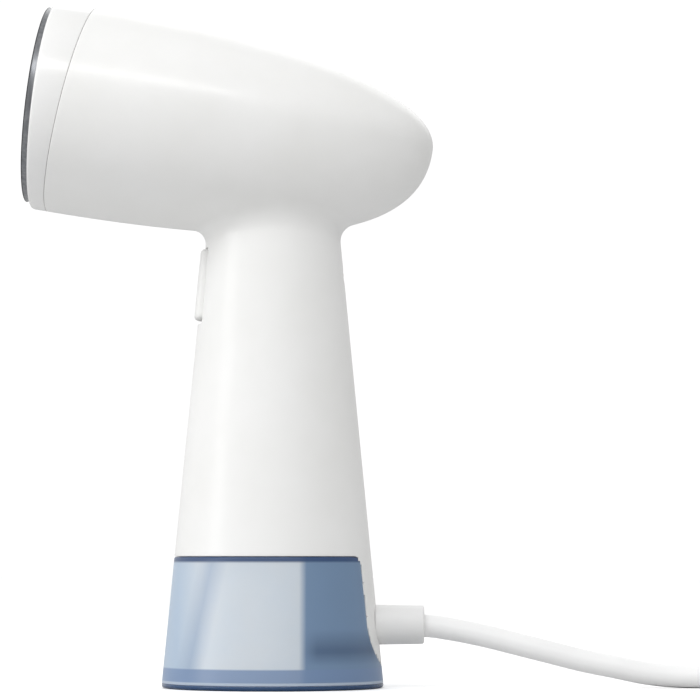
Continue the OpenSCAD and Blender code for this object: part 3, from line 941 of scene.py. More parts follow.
FINISHES: dict[str, Finish] = {
    "shell_white": Finish(WHITE, CREAM, roughness=0.33, spread=0.05, coat=0.12, depth=0.004 * MM,
                          scale=1500.0),
    "ring_white": Finish(srgb(240, 240, 240), CREAM, roughness=0.24, spread=0.04, coat=0.3,
                         depth=0.003 * MM, scale=1500.0),
    "trigger_white": Finish(WHITE, CREAM, roughness=0.36, spread=0.05, depth=0.005 * MM),
    "bush_white": Finish(srgb(236, 236, 236), CREAM, roughness=0.5, depth=0.01 * MM),
    "cord_white": Finish(srgb(250, 250, 250), srgb(246, 246, 246), roughness=0.42, depth=0.01 * MM,
                         scale=1800.0),
    "plug_white": Finish(srgb(238, 238, 238), CREAM, roughness=0.38, depth=0.012 * MM),
    "soleplate_metal": Finish(srgb(150, 152, 155), srgb(120, 122, 126), Pattern.BRUSHED, 900.0,
                              0.01 * MM, 0.34, 0.08, metallic=1.0, wear=0.6),
    "gasket_silicone": Finish(srgb(205, 207, 210), srgb(190, 192, 196), roughness=0.6),
    "boiler_casting": Finish(srgb(150, 152, 155), srgb(118, 120, 124), Pattern.CAST, 700.0,
                             0.05 * MM, 0.5, 0.1, metallic=1.0),
    "screw_steel": steel(176, 140, 1800.0, 0.008, 0.3, 0.08, 0.6),
    "element_sheath": Finish(srgb(120, 112, 104), srgb(78, 70, 66), Pattern.CAST, 1500.0,
                             0.02 * MM, 0.5, 0.12, metallic=1.0),
    "thermostat_copper": Finish(srgb(196, 122, 82), srgb(150, 88, 60), Pattern.BRUSHED, 1500.0,
                                0.01 * MM, 0.34, 0.1, metallic=1.0),
    "fuse_ceramic": Finish(srgb(232, 226, 212), srgb(214, 206, 190), roughness=0.6, depth=0.03 * MM),
    "shield_mica": Finish(srgb(178, 148, 92), srgb(140, 110, 64), Pattern.CAST, 500.0, 0.03 * MM, 0.45, 0.1),
    "pump_nylon": Finish(srgb(224, 224, 218), srgb(206, 206, 198), roughness=0.45, subsurface=0.1),
    "coil_winding": Finish(srgb(150, 82, 44), srgb(92, 48, 28), Pattern.WOUND, 900.0, 0.12 * MM, 0.35, 0.08,
                           coat=0.3),
    "yoke_steel": steel(158, 120, 1200.0, 0.01, 0.38, 0.1),
    "plunger_steel": Finish(srgb(170, 170, 172), srgb(140, 140, 144), Pattern.BRUSHED, 2200.0,
                            0.005 * MM, 0.24, 0.06, metallic=1.0),
    "spring_steel": steel(182, 150, 2200.0, 0.005, 0.26),
    "pin_steel": steel(186, 156, 2200.0, 0.004, 0.22),
    "mount_rubber": Finish(srgb(38, 38, 40), srgb(26, 26, 28), roughness=0.72, depth=0.03 * MM),
    "seal_rubber": Finish(srgb(34, 34, 36), srgb(24, 24, 26), roughness=0.5, depth=0.02 * MM),
    "spigot_plastic": Finish(srgb(216, 219, 222), srgb(200, 203, 207), roughness=0.4),
    "hose_clear": Finish(srgb(214, 220, 224), srgb(196, 204, 210), roughness=0.22, subsurface=0.3),
    "hose_silicone": Finish(srgb(226, 228, 228), srgb(208, 211, 212), roughness=0.4, subsurface=0.3),
    "filter_plastic": Finish(srgb(232, 233, 234), srgb(214, 216, 218), roughness=0.5),
    "board_green": Finish(srgb(34, 92, 58), srgb(24, 70, 44), Pattern.WOVEN, 500.0, 0.02 * MM, 0.35, 0.08,
                          coat=0.4),
    "lens_amber": Finish(srgb(250, 170, 60), srgb(240, 140, 40), roughness=0.12, spread=0.03,
                         transmission=0.7, depth=0.002 * MM, coat=0.5),
    "bracket_plastic": Finish(srgb(200, 202, 205), srgb(182, 184, 188), roughness=0.5),
    "switch_black": Finish(srgb(36, 36, 38), srgb(26, 26, 28), roughness=0.45),
    "button_red": Finish(srgb(176, 34, 30), srgb(140, 24, 22), roughness=0.3),
    "terminal_nylon": Finish(srgb(232, 228, 212), srgb(212, 206, 188), roughness=0.5),
    "wire_insulation": Finish(srgb(50, 84, 160), srgb(36, 62, 128), roughness=0.4),
    "clamp_plastic": Finish(srgb(196, 198, 200), srgb(176, 178, 182), roughness=0.5),
    "tank_frosted": TintedFinish(srgb(242, 249, 255), srgb(236, 246, 255), roughness=0.32, spread=0.02,
                                 transmission=0.34, depth=0.0005 * MM, ior=1.46, density=30.0,
                                 wear=0.0, painted_light_and_shade=(
        # Painted light: the front of the tank is lighter where light shows through both walls.
        PaintedLightAndShade(srgb(196, 219, 242), 0.8, ((1.0, 0.0, -21.0, -29.0),)),
        # Painted shade: a slanting darker band where the inner wall is in shade.
        PaintedLightAndShade(srgb(150, 178, 212), 0.5, ((1.0, -0.22, -31.0, -26.5), (1.0, -0.22, -21.5, -26.5))),
        # Painted shade: the rear, behind the partition, is deeper blue where the spine behind the frosting
        # is in shade.
        PaintedLightAndShade(srgb(136, 166, 200), 1.0, ((1.0, 0.0, 8.6, 10.8),)),
        # Painted shadow: a dark patch low at the rear, under the spine.
        PaintedLightAndShade(srgb(84, 110, 146), 0.75, ((1.0, 0.0, 9.5, 14.0), (0.0, 1.0, 7.5, 11.5),
                                        (0.0, 1.0, 18.5, 12.5))),
        # Painted shade: a darker band along the foot.
        PaintedLightAndShade(srgb(138, 166, 206), 0.85, ((0.0, 1.0, 6.7, 6.2),)),
        # Painted highlight: a light line along the very foot.
        PaintedLightAndShade(srgb(226, 238, 252), 0.8, ((0.0, 1.0, 2.6, 2.3),)),
        # Painted shade: a dark band along the top edge.
        PaintedLightAndShade(srgb(58, 88, 136), 0.95, ((0.0, 1.0, 38.6, 39.3),)))),
    "tank_base_blue": TintedFinish(srgb(66, 100, 146), srgb(58, 92, 138), roughness=0.14, spread=0.04,
                                   transmission=0.4, depth=0.004 * MM, ior=1.46, density=110.0,
                                   tint=srgb(70, 130, 205), wear=0.0),
    "pin_brass": Finish(srgb(200, 186, 140), srgb(170, 152, 104), Pattern.BRUSHED, 1800.0,
                        0.005 * MM, 0.24, 0.06, metallic=1.0, wear=0.6),
    "tie_grey": Finish(srgb(92, 94, 98), srgb(60, 62, 66), Pattern.WOVEN, 420.0, 0.2 * MM, 0.85, 0.05,
                       sheen=0.4),
}


@dataclass
class Wardrobe:
    """Every finish that has been built, by the record's slot names."""

    built: dict[str, bpy.types.Material] = field(default_factory=dict)

    def get(self, slot: str) -> bpy.types.Material:
        """The finish of a slot, built the first time it is asked for."""
        if slot not in self.built:
            self.built[slot] = FINISHES[slot].build(slot)
        return self.built[slot]

    def dress(self, obj: bpy.types.Object, slot: str) -> None:
        """Puts a slot's finish on a piece, in place of what it had."""
        obj.data.materials.clear()
        obj.data.materials.append(self.get(slot))

    def place(self, obj: bpy.types.Object, slot: str, body: str, *nodes: str) -> bpy.types.Object:
        """Dresses a new piece and fits it into the frame.

        Args:
            obj: The piece.
            slot: The record's slot that it takes its finish from.
            body: The CAD body that it moves with.
            nodes: The CAD nodes that it stands for.

        Returns:
            The same piece.
        """
        self.dress(obj, slot)
        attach(obj, body)
        if nodes:
            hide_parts(*nodes)
        LOG.info("%s: %s, on %s", obj.name, slot, body)
        return obj

    def dress_frame(self) -> None:
        """Gives every CAD node that still shows the better finish of its slot."""
        slots = {m["node"]: m["slot"] for m in frame["record"].get("visual", {}).get("materials", [])}
        for name, node in frame["nodes"].items():
            old = node.data.materials[0].name.split(".")[0] if node.data.materials else ""
            slot = slots.get(name, old)
            if slot in FINISHES:
                self.dress(node, slot)
                shade_only(node)
                LOG.info("%s: %s", name, slot)


def shade_only(obj: bpy.types.Object) -> None:
    """Marks a CAD node's faces smooth without touching its corners."""
    obj.data.shade_smooth()


# ---- Studio ----


@dataclass(frozen=True)
class StudioLamp:
    """An oblong soft light that faces the object."""

    name: str
    place: Point
    size: tuple[float, float]
    power: float
    target: Point = (0.0, 0.0, 0.11)

    def build(self) -> None:
        """Stands the light in its place."""
        data = bpy.data.lights.new(self.name, "AREA")
        data.shape = "RECTANGLE"
        data.size, data.size_y = self.size
        data.energy = self.power
        lamp = bpy.data.objects.new(self.name, data)
        lamp.location = self.place
        lamp.rotation_euler = (Vector(self.target) - Vector(self.place)).to_track_quat("-Z", "Y").to_euler()
        bpy.context.scene.collection.objects.link(lamp)


@dataclass
class Studio:
    """A white sweep, soft lights and the camera."""

    eye: Point = (0.024, -1.0, 0.040)
    aim: Point = (0.024, 0.0, 0.105)
    lens: float = 165.0
    left_light: float = 1.06
    right_light: float = 0.6
    low_light: float = 0.86
    horizon: float = -0.1
    zenith: float = 0.7
    backdrop: float = 1.05
    floor_bounce: float = 0.62
    floor_size: float = 12.0
    lamps: tuple[StudioLamp, ...] = (
        StudioLamp("streak", (-0.25, -0.62, 0.78), (1.1, 0.16), 3.0),
        StudioLamp("left", (-0.95, -0.45, 0.25), (0.35, 0.8), 1.6),
        StudioLamp("rear", (0.2, 0.95, 0.75), (0.9, 0.6), 1.3))
    floor_glow: float = 0.24

    def build(self) -> None:
        """Builds the floor, the world, the lights and the camera."""
        self._camera()
        self._world()
        self._floor()
        for lamp in self.lamps:
            lamp.build()
        scene = bpy.context.scene
        scene.view_settings.view_transform = "Standard"
        scene.view_settings.look = "None"
        scene.view_settings.exposure = 0.0
        scene.view_settings.gamma = 1.0
        LOG.info("studio ready")

    def _camera(self) -> None:
        """Stands the camera at its eye point, looking at its aim point."""
        data = bpy.data.cameras.new("camera")
        data.sensor_width = 36.0
        data.lens = self.lens
        data.clip_start, data.clip_end = 0.01, 50.0
        camera = bpy.data.objects.new("camera", data)
        camera.location = self.eye
        heading = Vector(self.aim) - Vector(self.eye)
        camera.rotation_euler = heading.to_track_quat("-Z", "Y").to_euler()
        bpy.context.scene.collection.objects.link(camera)
        bpy.context.scene.camera = camera

    def _world(self) -> None:
        """A white surround: plain white to look at, and a softer light on the object."""
        world = bpy.data.worlds.new("surround")
        world.use_nodes = True
        bench = NodeBench(world.node_tree)
        world.node_tree.nodes.clear()
        seen = bench.add("ShaderNodeLightPath").outputs["Is Camera Ray"]
        way = bench.add("ShaderNodeTexCoord").outputs["Generated"]
        across, _, up = bench.add("ShaderNodeSeparateXYZ", None, Vector=way).outputs
        side = bench.add("ShaderNodeMapRange", None, Value=across, From_Min=-1.0, To_Min=self.left_light,
                         To_Max=self.right_light).outputs[0]
        rise = bench.add("ShaderNodeMapRange", None, Value=up, From_Min=self.horizon, From_Max=self.zenith,
                         To_Min=self.low_light, To_Max=1.0).outputs[0]
        soft = bench.math("MULTIPLY", side, rise)
        strength = bench.add("ShaderNodeMapRange", None, Value=seen, To_Min=soft,
                             To_Max=self.backdrop).outputs[0]
        sky = bench.add("ShaderNodeBackground", None, Color=(1.0, 1.0, 1.0, 1.0), Strength=strength)
        bench.add("ShaderNodeOutputWorld", None, Surface=sky.outputs[0])
        bpy.context.scene.world = world

    def _floor(self) -> None:
        """A wide pale floor, just under the standing face."""
        half = self.floor_size / 2
        floor = make_object("floor", np.array([(-half, -half, 0), (half, -half, 0), (half, half, 0),
                                               (-half, half, 0)]), [(0, 1, 2, 3)])
        material = bpy.data.materials.new("floor_white")
        material.use_nodes = True
        bench = NodeBench(material.node_tree)
        material.node_tree.nodes.clear()
        vector = bench.add("ShaderNodeTexCoord").outputs["Object"]
        rough = bench.add("ShaderNodeMapRange", None, Value=bench.noise(vector, 40.0), To_Min=0.6,
                          To_Max=0.75).outputs[0]
        shader = bench.add("ShaderNodeBsdfPrincipled", None, Base_Color=(0.96, 0.96, 0.96, 1.0),
                           Roughness=rough, Emission_Color=(1.0, 1.0, 1.0, 1.0))
        shader.inputs["Emission Strength"].default_value = self.floor_glow
        dim = bench.add("ShaderNodeBsdfDiffuse", None, Color=(*[self.floor_bounce] * 3, 1.0))
        seen = bench.add("ShaderNodeLightPath").outputs["Is Camera Ray"]
        both = bench.add("ShaderNodeMixShader", None, i0=seen, i1=dim.outputs[0], i2=shader.outputs[0])
        bench.add("ShaderNodeOutputMaterial", None, Surface=both.outputs[0])
        floor.data.materials.append(material)


# ---- Cord ----


def eased(value: float, start: float, end: float) -> float:
    """Rises smoothly from 0 at start to 1 at end."""
    t = min(max((value - start) / (end - start), 0.0), 1.0)
    return t * t * (3 - 2 * t)


@dataclass
class MainsCord:
    """The mains lead: out of its bushing, down to the table and into a tied coil."""

    diameter: float = 7 * MM
    length: float = 1.88
    lead: tuple[Point, ...] = (
        (19, 0, 19.5), (33, 0, 19.5), (47, 0, 19.2), (56, 0, 18), (66, -0.5, 16), (76, -1, 13.5),
        (86, -1.5, 11), (96, -2, 8.5), (106, -2.5, 6.5), (116, -2.5, 4.5), (126, -2.8, 3.6),
        (140, -4.2, 3.5), (155, -5.5, 3.5), (168, -6, 3.5))
    tail: tuple[Point, ...] = (
        (150.5, 34, 19), (150.5, 25, 22.5), (150.5, 15.5, 24.5), (150.5, 6, 23),
        (151.45, -1.25, 21), (154.25, -8, 19), (158.7, -13.8, 17.2), (164.5, -18.25, 16.4),
        (171.25, -21.05, 16.6), (178.5, -22, 17), (182, -22, 17))
    coil_centre: tuple[float, float] = (188, 38.5)
    radii: tuple[float, ...] = (44.5, 37.5, 30.5, 30.5, 37.5, 44.5, 37.5)
    levels: tuple[float, ...] = (3.5, 3.5, 3.5, 10.5, 10.5, 10.5, 17.5)
    shift_zone: tuple[float, float] = (310, 360)
    early_shift: tuple[float, float] = (175, 232)
    inner_climb: tuple[float, float] = (235, 308)
    outer_climb: tuple[float, float] = (100, 172)
    turns: float = 6.75
    steps_per_turn: int = 48
    tie_angle: float = 180
    tie_lift: float = 0.8

    def coil_points(self) -> list[Point]:
        """The coil's route, turn by turn, in millimetres."""
        result = []
        count = int(self.turns * self.steps_per_turn)
        for i in range(1, count + 1):
            turned_by = 360 * i / self.steps_per_turn
            turn = min(int(turned_by // 360), len(self.radii) - 1)
            part = turned_by - 360 * turn
            after = min(turn + 1, len(self.radii) - 1)
            outward = self.radii[after] > self.radii[turn]
            move = eased(part, *(self.early_shift if outward else self.shift_zone))
            inside = self.radii[turn] == min(self.radii)
            rise = eased(part, *(self.inner_climb if inside else self.outer_climb))
            radius = self.radii[turn] + (self.radii[after] - self.radii[turn]) * move
            height = self.levels[turn] + (self.levels[after] - self.levels[turn]) * rise
            near_tie = 1 - eased(abs(part - self.tie_angle), 8, 45)
            height += self.tie_lift * near_tie * (1 - height / 24.5)
            angle = math.radians(turned_by - 90)
            result.append((self.coil_centre[0] + radius * math.cos(angle),
                           self.coil_centre[1] + radius * math.sin(angle), height))
        return result

    def route(self) -> np.ndarray:
        """The whole route on one smooth curve, in metres."""
        lead = spline(np.array(self.lead, float), 6)
        points = [*map(tuple, lead), *self.coil_points()]
        tail = spline(np.array([points[-3], points[-1], *self.tail], float), 6)[6:]
        return np.array([*points, *map(tuple, tail[1:])]) * MM

    def build(self, wardrobe: Wardrobe, partners: Sequence[bpy.types.Object]) -> bpy.types.Object:
        """Args:
            wardrobe: The finishes.
            partners: The pieces on the cord, its plug among them; not used.

        Returns:
            The cord.
        """
        points = self.route()
        data = bpy.data.curves.new("mains_cord", "CURVE")
        data.dimensions = "3D"
        data.bevel_depth = self.diameter / 2
        data.bevel_resolution = 4
        data.use_fill_caps = True
        line = data.splines.new("POLY")
        line.points.add(len(points) - 1)
        for point, place in zip(line.points, points):
            point.co = (*place, 1.0)
        line.use_smooth = True
        cord = bpy.data.objects.new("mains_cord", data)
        bpy.context.scene.collection.objects.link(cord)
        wardrobe.place(cord, "cord_white", "body", "power_cord", "cord_coil")
        measured = float(np.linalg.norm(np.diff(points, axis=0), axis=1).sum())
        LOG.info("mains_cord: route of %.3f m", measured)
        return cord


def spline(points: np.ndarray, steps: int) -> np.ndarray:
    """A smooth curve through every point, with so many steps between two."""
    padded = np.vstack([2 * points[0] - points[1], points, 2 * points[-1] - points[-2]])
    result = []
    for a, b, c, d in zip(padded, padded[1:], padded[2:], padded[3:]):
        for step in range(steps):
            t = step / steps
            result.append(0.5 * (2 * b + (c - a) * t + (2 * a - 5 * b + 4 * c - d) * t * t
                                 + (3 * b - a - 3 * c + d) * t ** 3))
    result.append(points[-1])
    return np.array(result)


@dataclass
class Plug:
    """The moulded plug, with a ribbed neck and two round pins, lying along X."""

    centre: Point = (179.5 * MM, -22 * MM, 17 * MM)
    pin_spread: float = 9.5 * MM

    def body(self, wardrobe: Wardrobe) -> bpy.types.Object:
        """Builds the moulded body with its ribs."""
        mm = [(0.1, 0, 0), (0.1, 4.8, 0.6), (19, 6.5, 2.5), (22.5, 11.5, 2.5), (27.5, 16.2, 2.5),
              (31, 17, 1.5), (48, 17, 1.2), (50, 16, 0.8), (50, 0, 0)]
        profile = rounded_profile([(x * MM, r * MM, c * MM) for x, r, c in mm])
        relief = [(x, r - 0.7 * MM * self._ring(x)) for x, r in self._finer(profile)]
        obj = turned("plug_moulding", relief, Axis.X, self.centre, 72, 50.0)
        return wardrobe.place(obj, "plug_white", "body", "plug_body")

    def _finer(self, profile: Sequence[tuple[float, float]]) -> list[tuple[float, float]]:
        """Adds points to the neck, so that its rings can be cut in."""
        result: list[tuple[float, float]] = []
        for (x0, r0), (x1, r1) in zip(profile, profile[1:]):
            count = max(1, int(abs(x1 - x0) / (0.35 * MM)))
            result += [(x0 + (x1 - x0) * i / count, r0 + (r1 - r0) * i / count) for i in range(count)]
        return [*result, profile[-1]]

    def _ring(self, along: float) -> float:
        """How deep the flex relief's grooves are at a distance along the neck."""
        if not 3 * MM < along < 17 * MM:
            return 0.0
        return max(0.0, math.sin(2 * math.pi * along / (3.2 * MM))) ** 0.6

    def pins(self, wardrobe: Wardrobe) -> bpy.types.Object:
        """Builds the two pins, with their rounded tips."""
        parts = []
        for side in (-1, 1):
            mm = [(50, 0, 0), (50, 2.4, 0), (67.2, 2.4, 0.5), (69, 1.4, 0.5), (69, 0, 0)]
            profile = rounded_profile([(x * MM, r * MM, c * MM) for x, r, c in mm])
            place = (self.centre[0], self.centre[1] + side * self.pin_spread, self.centre[2])
            one = turned(f"pin_{side}", profile, Axis.X, place, 28)
            parts.append(mesh_data(one))
        obj = make_object("plug_contacts", *together(parts))
        return wardrobe.place(obj, "pin_brass", "body", "plug_pins")


def mesh_data(obj: bpy.types.Object) -> tuple[np.ndarray, list[tuple[int, ...]]]:
    """Takes a piece's points and faces, and removes the piece."""
    points = np.array([v.co for v in obj.data.vertices])
    faces = [tuple(p.vertices) for p in obj.data.polygons]
    bpy.data.objects.remove(obj)
    return points, faces


@dataclass
class CordTie:
    """The woven strap that holds the coil."""

    centre: tuple[float, float] = (188 * MM, 38.5 * MM)
    inner: float = 25.4 * MM
    outer: float = 48.9 * MM
    top: float = 21.8 * MM
    half_width: float = 6 * MM
    thickness: float = 0.8 * MM
    corner: float = 4 * MM

    def build(self, wardrobe: Wardrobe) -> bpy.types.Object:
        """Builds the strap as a closed loop round the turns."""
        corners = [(self.inner, 0.0), (self.outer, 0.0), (self.outer, self.top), (self.inner, self.top)]
        outline = np.array(rounded_outline(corners, self.corner, 8))
        path = []
        for a, b in zip(outline, np.roll(outline, -1, axis=0)):
            count = max(1, int(np.linalg.norm(b - a) / (1.2 * MM)))
            path += [a + (b - a) * i / count for i in range(count)]
        path = np.array(path)
        run = np.roll(path, -1, axis=0) - np.roll(path, 1, axis=0)
        out = np.stack([run[:, 1], -run[:, 0]], axis=1)
        out /= np.linalg.norm(out, axis=1, keepdims=True)
        section = rounded_outline([(-self.half_width, -self.thickness), (self.half_width, -self.thickness),
                                   (self.half_width, 0.0), (-self.half_width, 0.0)], 0.25 * MM, 2)
        rings = []
        for place, side in zip(path, out):
            rings.append(np.array([(self.centre[0] + x, self.centre[1] + place[0] + side[0] * d,
                                    place[1] + side[1] * d) for x, d in section]))
        points, faces = loft(rings, closed=True)
        faces = [tuple(reversed(face)) for face in faces]
        obj = make_object("coil_strap", points, faces, 50.0)
        return wardrobe.place(obj, "tie_grey", "body", "cord_tie")


@dataclass
class Bushing:
    """The stiff sleeve that the cord leaves the spine through."""

    centre: Point = (0.0, 0.0, 19.5 * MM)

    def build(self, wardrobe: Wardrobe) -> bpy.types.Object:
        """Builds the sleeve, with a flange inside the spine and a rounded mouth."""
        mm = [(22.7, 3.55, 0), (22.7, 6.5, 0.3), (25, 6.5, 0.3), (25, 4.95, 0.1), (31.7, 4.95, 0.1),
              (31.7, 6.2, 0.35), (46.3, 5.95, 0), (47, 5.85, 0.8), (47, 3.55, 0.4), (46, 3.55, 0)]
        profile = rounded_profile([(x * MM, r * MM, c * MM) for x, r, c in mm], 6)
        sides = 72
        angles = np.linspace(0, 2 * math.pi, sides, endpoint=False)
        rings = [np.stack([np.full(sides, x), r * np.cos(angles), r * np.sin(angles)], axis=1)
                 + np.array(self.centre) for x, r in profile]
        points, faces = loft(rings, closed=True)
        return wardrobe.place(make_object("cord_sleeve", points, faces, 35.0), "bush_white", "body",
                              "cord_bushing")


# ---- Housing ----


@dataclass
class Housing:
    """The two halves of the white body, from the head down to the spine."""

    net: float = 1.15 * MM
    wall: float = 2.5 * MM
    lip: float = 0.2 * MM
    seam: float = 0.05 * MM
    joint_middle: float = 8.9 * MM
    joint_slope: float = 0.12
    base: float = 40.7 * MM
    notch_half: float = 12.2 * MM
    notch_z: float = 19.5 * MM
    corner: float = 3 * MM
    plain_top: float = 100 * MM
    window_gap: float = 0.4 * MM
    window_foot_gap: float = 1.4 * MM
    window_corner: float = 1.6 * MM
    sleeve_radius: float = 6.3 * MM
    screw_bore: float = 3.2 * MM
    post_radius: float = 4.5 * MM
    screws: tuple[tuple[float, float, float], ...] = (
        (16, 60, 6), (16, 104, 6), (25, 165, 14), (-20, 195, 14))

    def boss_outline(self) -> list[tuple[float, float]]:
        """The spine's outline between the tank's skirts, as (Y, Z)."""
        half = self.notch_half - self.lip
        arc = [(half * math.cos(a), self.notch_z + half * math.sin(a))
               for a in np.linspace(math.pi, 2 * math.pi, 25)]
        return [*arc, (half, self.base + 5 * MM), (-half, self.base + 5 * MM)]

    def trim_base(self, skin: Sheet) -> Sheet:
        """Cuts away the handle's foot, but for the spine."""
        low = self.base + self.lip
        boss = self.boss_outline()
        corner = self.corner + self.lip
        square = [(self.notch_half - self.lip, self.base + self.lip - corner),
                  (self.notch_half - self.lip + corner, self.base + self.lip - corner),
                  (self.notch_half - self.lip + corner, self.base + self.lip),
                  (self.notch_half - self.lip, self.base + self.lip)]
        disc = ellipse_points((square[1][0], square[0][1]), (corner, corner), 48)
        planes: list[tuple[Point, Point]] = [((0, 0, low), (0, 0, 1))]
        for (y0, z0), (y1, z1) in zip(boss, boss[1:]):
            planes.append(((0, y0, z0), (0, z1 - z0, y0 - y1)))
        for (y0, z0), (y1, z1) in zip(disc[12:24], disc[13:25]):
            for side in (-1, 1):
                planes.append(((0, side * y0, z0), (0, side * (z1 - z0), y0 - y1)))

        def near(centres: np.ndarray) -> np.ndarray:
            """The back of the foot, where the spine's outline is cut."""
            return (centres[:, 2] < low + 0.5 * MM) & (centres[:, 0] > 15 * MM)

        def drop(centres: np.ndarray) -> np.ndarray:
            """What goes: all below the handle, but the spine and its two corners."""
            flat = np.stack([np.abs(centres[:, 1]), centres[:, 2]], axis=1)
            back = centres[:, 0] > 0
            spine = within(boss, centres[:, 1:]) & back
            fillet = within(square, flat) & ~within(disc, flat) & back
            return (centres[:, 2] < low) & ~spine & ~fillet

        skin.trim(planes[:1], lambda c: np.zeros(len(c), bool))
        return skin.trim(planes[1:], drop, near)

    def trim_front(self, skin: Sheet) -> Sheet:
        """Cuts the head along the slanting joint behind the front ring."""
        head = FORM.head
        middle, slope = self.joint_middle + self.lip, self.joint_slope
        place = head.to_row(np.array([[middle, 0, 0]]))[0]
        normal = head.to_row(np.array([[1, 0, -slope]]))[0] - np.array(head.rim)

        def ahead(centres: np.ndarray) -> np.ndarray:
            """What lies ahead of the joint."""
            local = head.to_local(centres)
            return (local[:, 0] < middle + slope * local[:, 2]) & (centres[:, 2] > 120 * MM)

        return skin.trim([(place, normal)], ahead, lambda c: c[:, 2] > 120 * MM)

    def openings(self, skin: Sheet) -> Sheet:
        """Cuts the openings for the trigger, the lamp and the cord's sleeve."""
        pad, light = Trigger(), Lamp()
        grow = self.window_gap + self.lip
        top, foot = pad.top + grow, pad.foot - self.window_foot_gap - self.lip
        window = rounded_outline([(pad.top_half + grow, top), (-pad.top_half - grow, top),
                                  (-pad.foot_half - grow, foot), (pad.foot_half + grow, foot)],
                                 self.window_corner)
        skin.cut_outline(window, Axis.X, lambda c: (c[:, 0] < -12 * MM) & (c[:, 2] < 140 * MM))
        lamp = ellipse_points((0, light.height), (light.radius + self.seam + self.lip,) * 2, 20)
        skin.cut_outline(lamp, Axis.X, lambda c: (c[:, 0] > 12 * MM) & (c[:, 2] < 140 * MM))
        sleeve = ellipse_points((0, self.notch_z), (self.sleeve_radius + self.lip,) * 2, 40)
        return skin.cut_outline(sleeve, Axis.X, lambda c: c[:, 0] > 20 * MM)

    def half(self, skin: Sheet, side: Side) -> Sheet:
        """Takes one half of the skin, with the right half's screw holes."""
        sign = side.value
        part = Sheet(skin.points.copy(), list(skin.faces))
        edge = sign * (self.seam + self.lip)
        part.trim([((0, edge, 0), (0, 1, 0))], lambda c: sign * (c[:, 1] - edge) < 0)
        if side is Side.RIGHT:
            for x, z, _ in self.screws:
                hole = ellipse_points((z * MM, x * MM), (self.screw_bore + self.lip,) * 2, 28)
                part.cut_outline(hole, Axis.Y, lambda c: c[:, 1] > 3 * MM)
        return part

    def floor(self, side: Side) -> tuple[np.ndarray, list[tuple[int, ...]]]:
        """The handle's floor, with the hole that the water spigot fills."""
        oval = FORM.oval
        middle = -10 * MM
        rings = []
        angles = np.linspace(0.012, math.pi - 0.012, 49)
        for z, inset in ((self.base + 0.25 * MM, 2.2 * MM), (self.base + 2 * MM, 2.2 * MM)):
            deep, wide = oval.radius(z) - inset, oval.ratio * oval.radius(z) - inset
            outer = []
            for a in angles:
                c, s = math.cos(a), math.sin(a)
                qa = (c / deep) ** 2 + (s / wide) ** 2
                qb = 2 * middle * c / deep ** 2
                qc = (middle / deep) ** 2 - 1
                reach = (-qb + math.sqrt(qb * qb - 4 * qa * qc)) / (2 * qa)
                if c > 0:
                    reach = min(reach, (13.5 * MM - middle) / c)
                outer.append((middle + reach * c, reach * s, z))
            inner = [(middle + 9 * MM * math.cos(a), 9 * MM * math.sin(a), z) for a in angles]
            rings += [np.array(outer), np.array(inner)] if not rings else [np.array(inner), np.array(outer)]
        count = len(angles)
        points = np.vstack(rings)
        faces: list[tuple[int, ...]] = []
        for k in range(4):
            low, high = k * count, (k + 1) % 4 * count
            faces += [(low + i, low + i + 1, high + i + 1, high + i) for i in range(count - 1)]
        faces += [(0, count, 2 * count, 3 * count), tuple(k * count + count - 1 for k in (3, 2, 1, 0))]
        points[:, 1] += self.seam
        if side is Side.LEFT:
            points = points * np.array((1, -1, 1))
            faces = [tuple(reversed(f)) for f in faces]
        return points, [tuple(reversed(f)) for f in faces]

    def posts(self, side: Side) -> list[tuple[np.ndarray, list[tuple[int, ...]]]]:
        """The screw posts of one half, which run in from its skin."""
        result = []
        for x, z, seat in self.screws:
            turn = np.linspace(0, 2 * math.pi, 16)
            reach = np.arange(4 * MM, 42 * MM, 0.25 * MM)
            spots = np.array([(x * MM + 4.6 * MM * math.cos(a), y, z * MM + 4.6 * MM * math.sin(a))
                              for a in turn for y in reach])
            inside = (FORM.distance(spots) < -0.5 * MM).reshape(len(turn), len(reach))
            end = float(min(reach[row].max(initial=4 * MM) for row in inside))
            place = (x * MM, 0.0, z * MM)
            if side is Side.RIGHT:
                result.append(tube_between(self.screw_bore, self.post_radius, seat * MM, end, Axis.Y, place))
                result.append(tube_between(1.6 * MM, self.post_radius, 0.1 * MM, seat * MM, Axis.Y, place))
            else:
                result.append(tube_between(1.25 * MM, 4.1 * MM, -end, -0.1 * MM, Axis.Y, place))
        return result

    def spine(self, side: Side) -> tuple[np.ndarray, list[tuple[int, ...]]]:
        """Half of the box that stands in the tank's rear channel."""
        oval = FORM.oval
        front, drawn = 11.5 * MM, 2.3 * MM
        deep = oval.radius(40.5 * MM) - drawn
        wide = oval.ratio * oval.radius(40.5 * MM) - drawn
        last = math.acos(front / deep)
        rings = []
        for z, inset in ((6, 1.2), (6.15, 0.6), (6.6, 0.15), (7.4, 0), (24, 0), (41.5, 0)):
            i = inset * MM
            arc = [((deep - i) * math.cos(a), (wide - i) * math.sin(a)) for a in np.linspace(0, last, 30)]
            arc = [(max(x, front + i), y) for x, y in arc]
            flat = [(front + i, arc[-1][1] * (1 - t)) for t in (0.25, 0.5, 0.75, 1.0)]
            rings.append(np.array([(x, y + self.seam, z * MM) for x, y in [*arc, *flat]]))
        points, faces = loft(rings)
        if side is Side.LEFT:
            points = points * np.array((1, -1, 1))
            faces = [tuple(reversed(f)) for f in faces]
        return points, faces

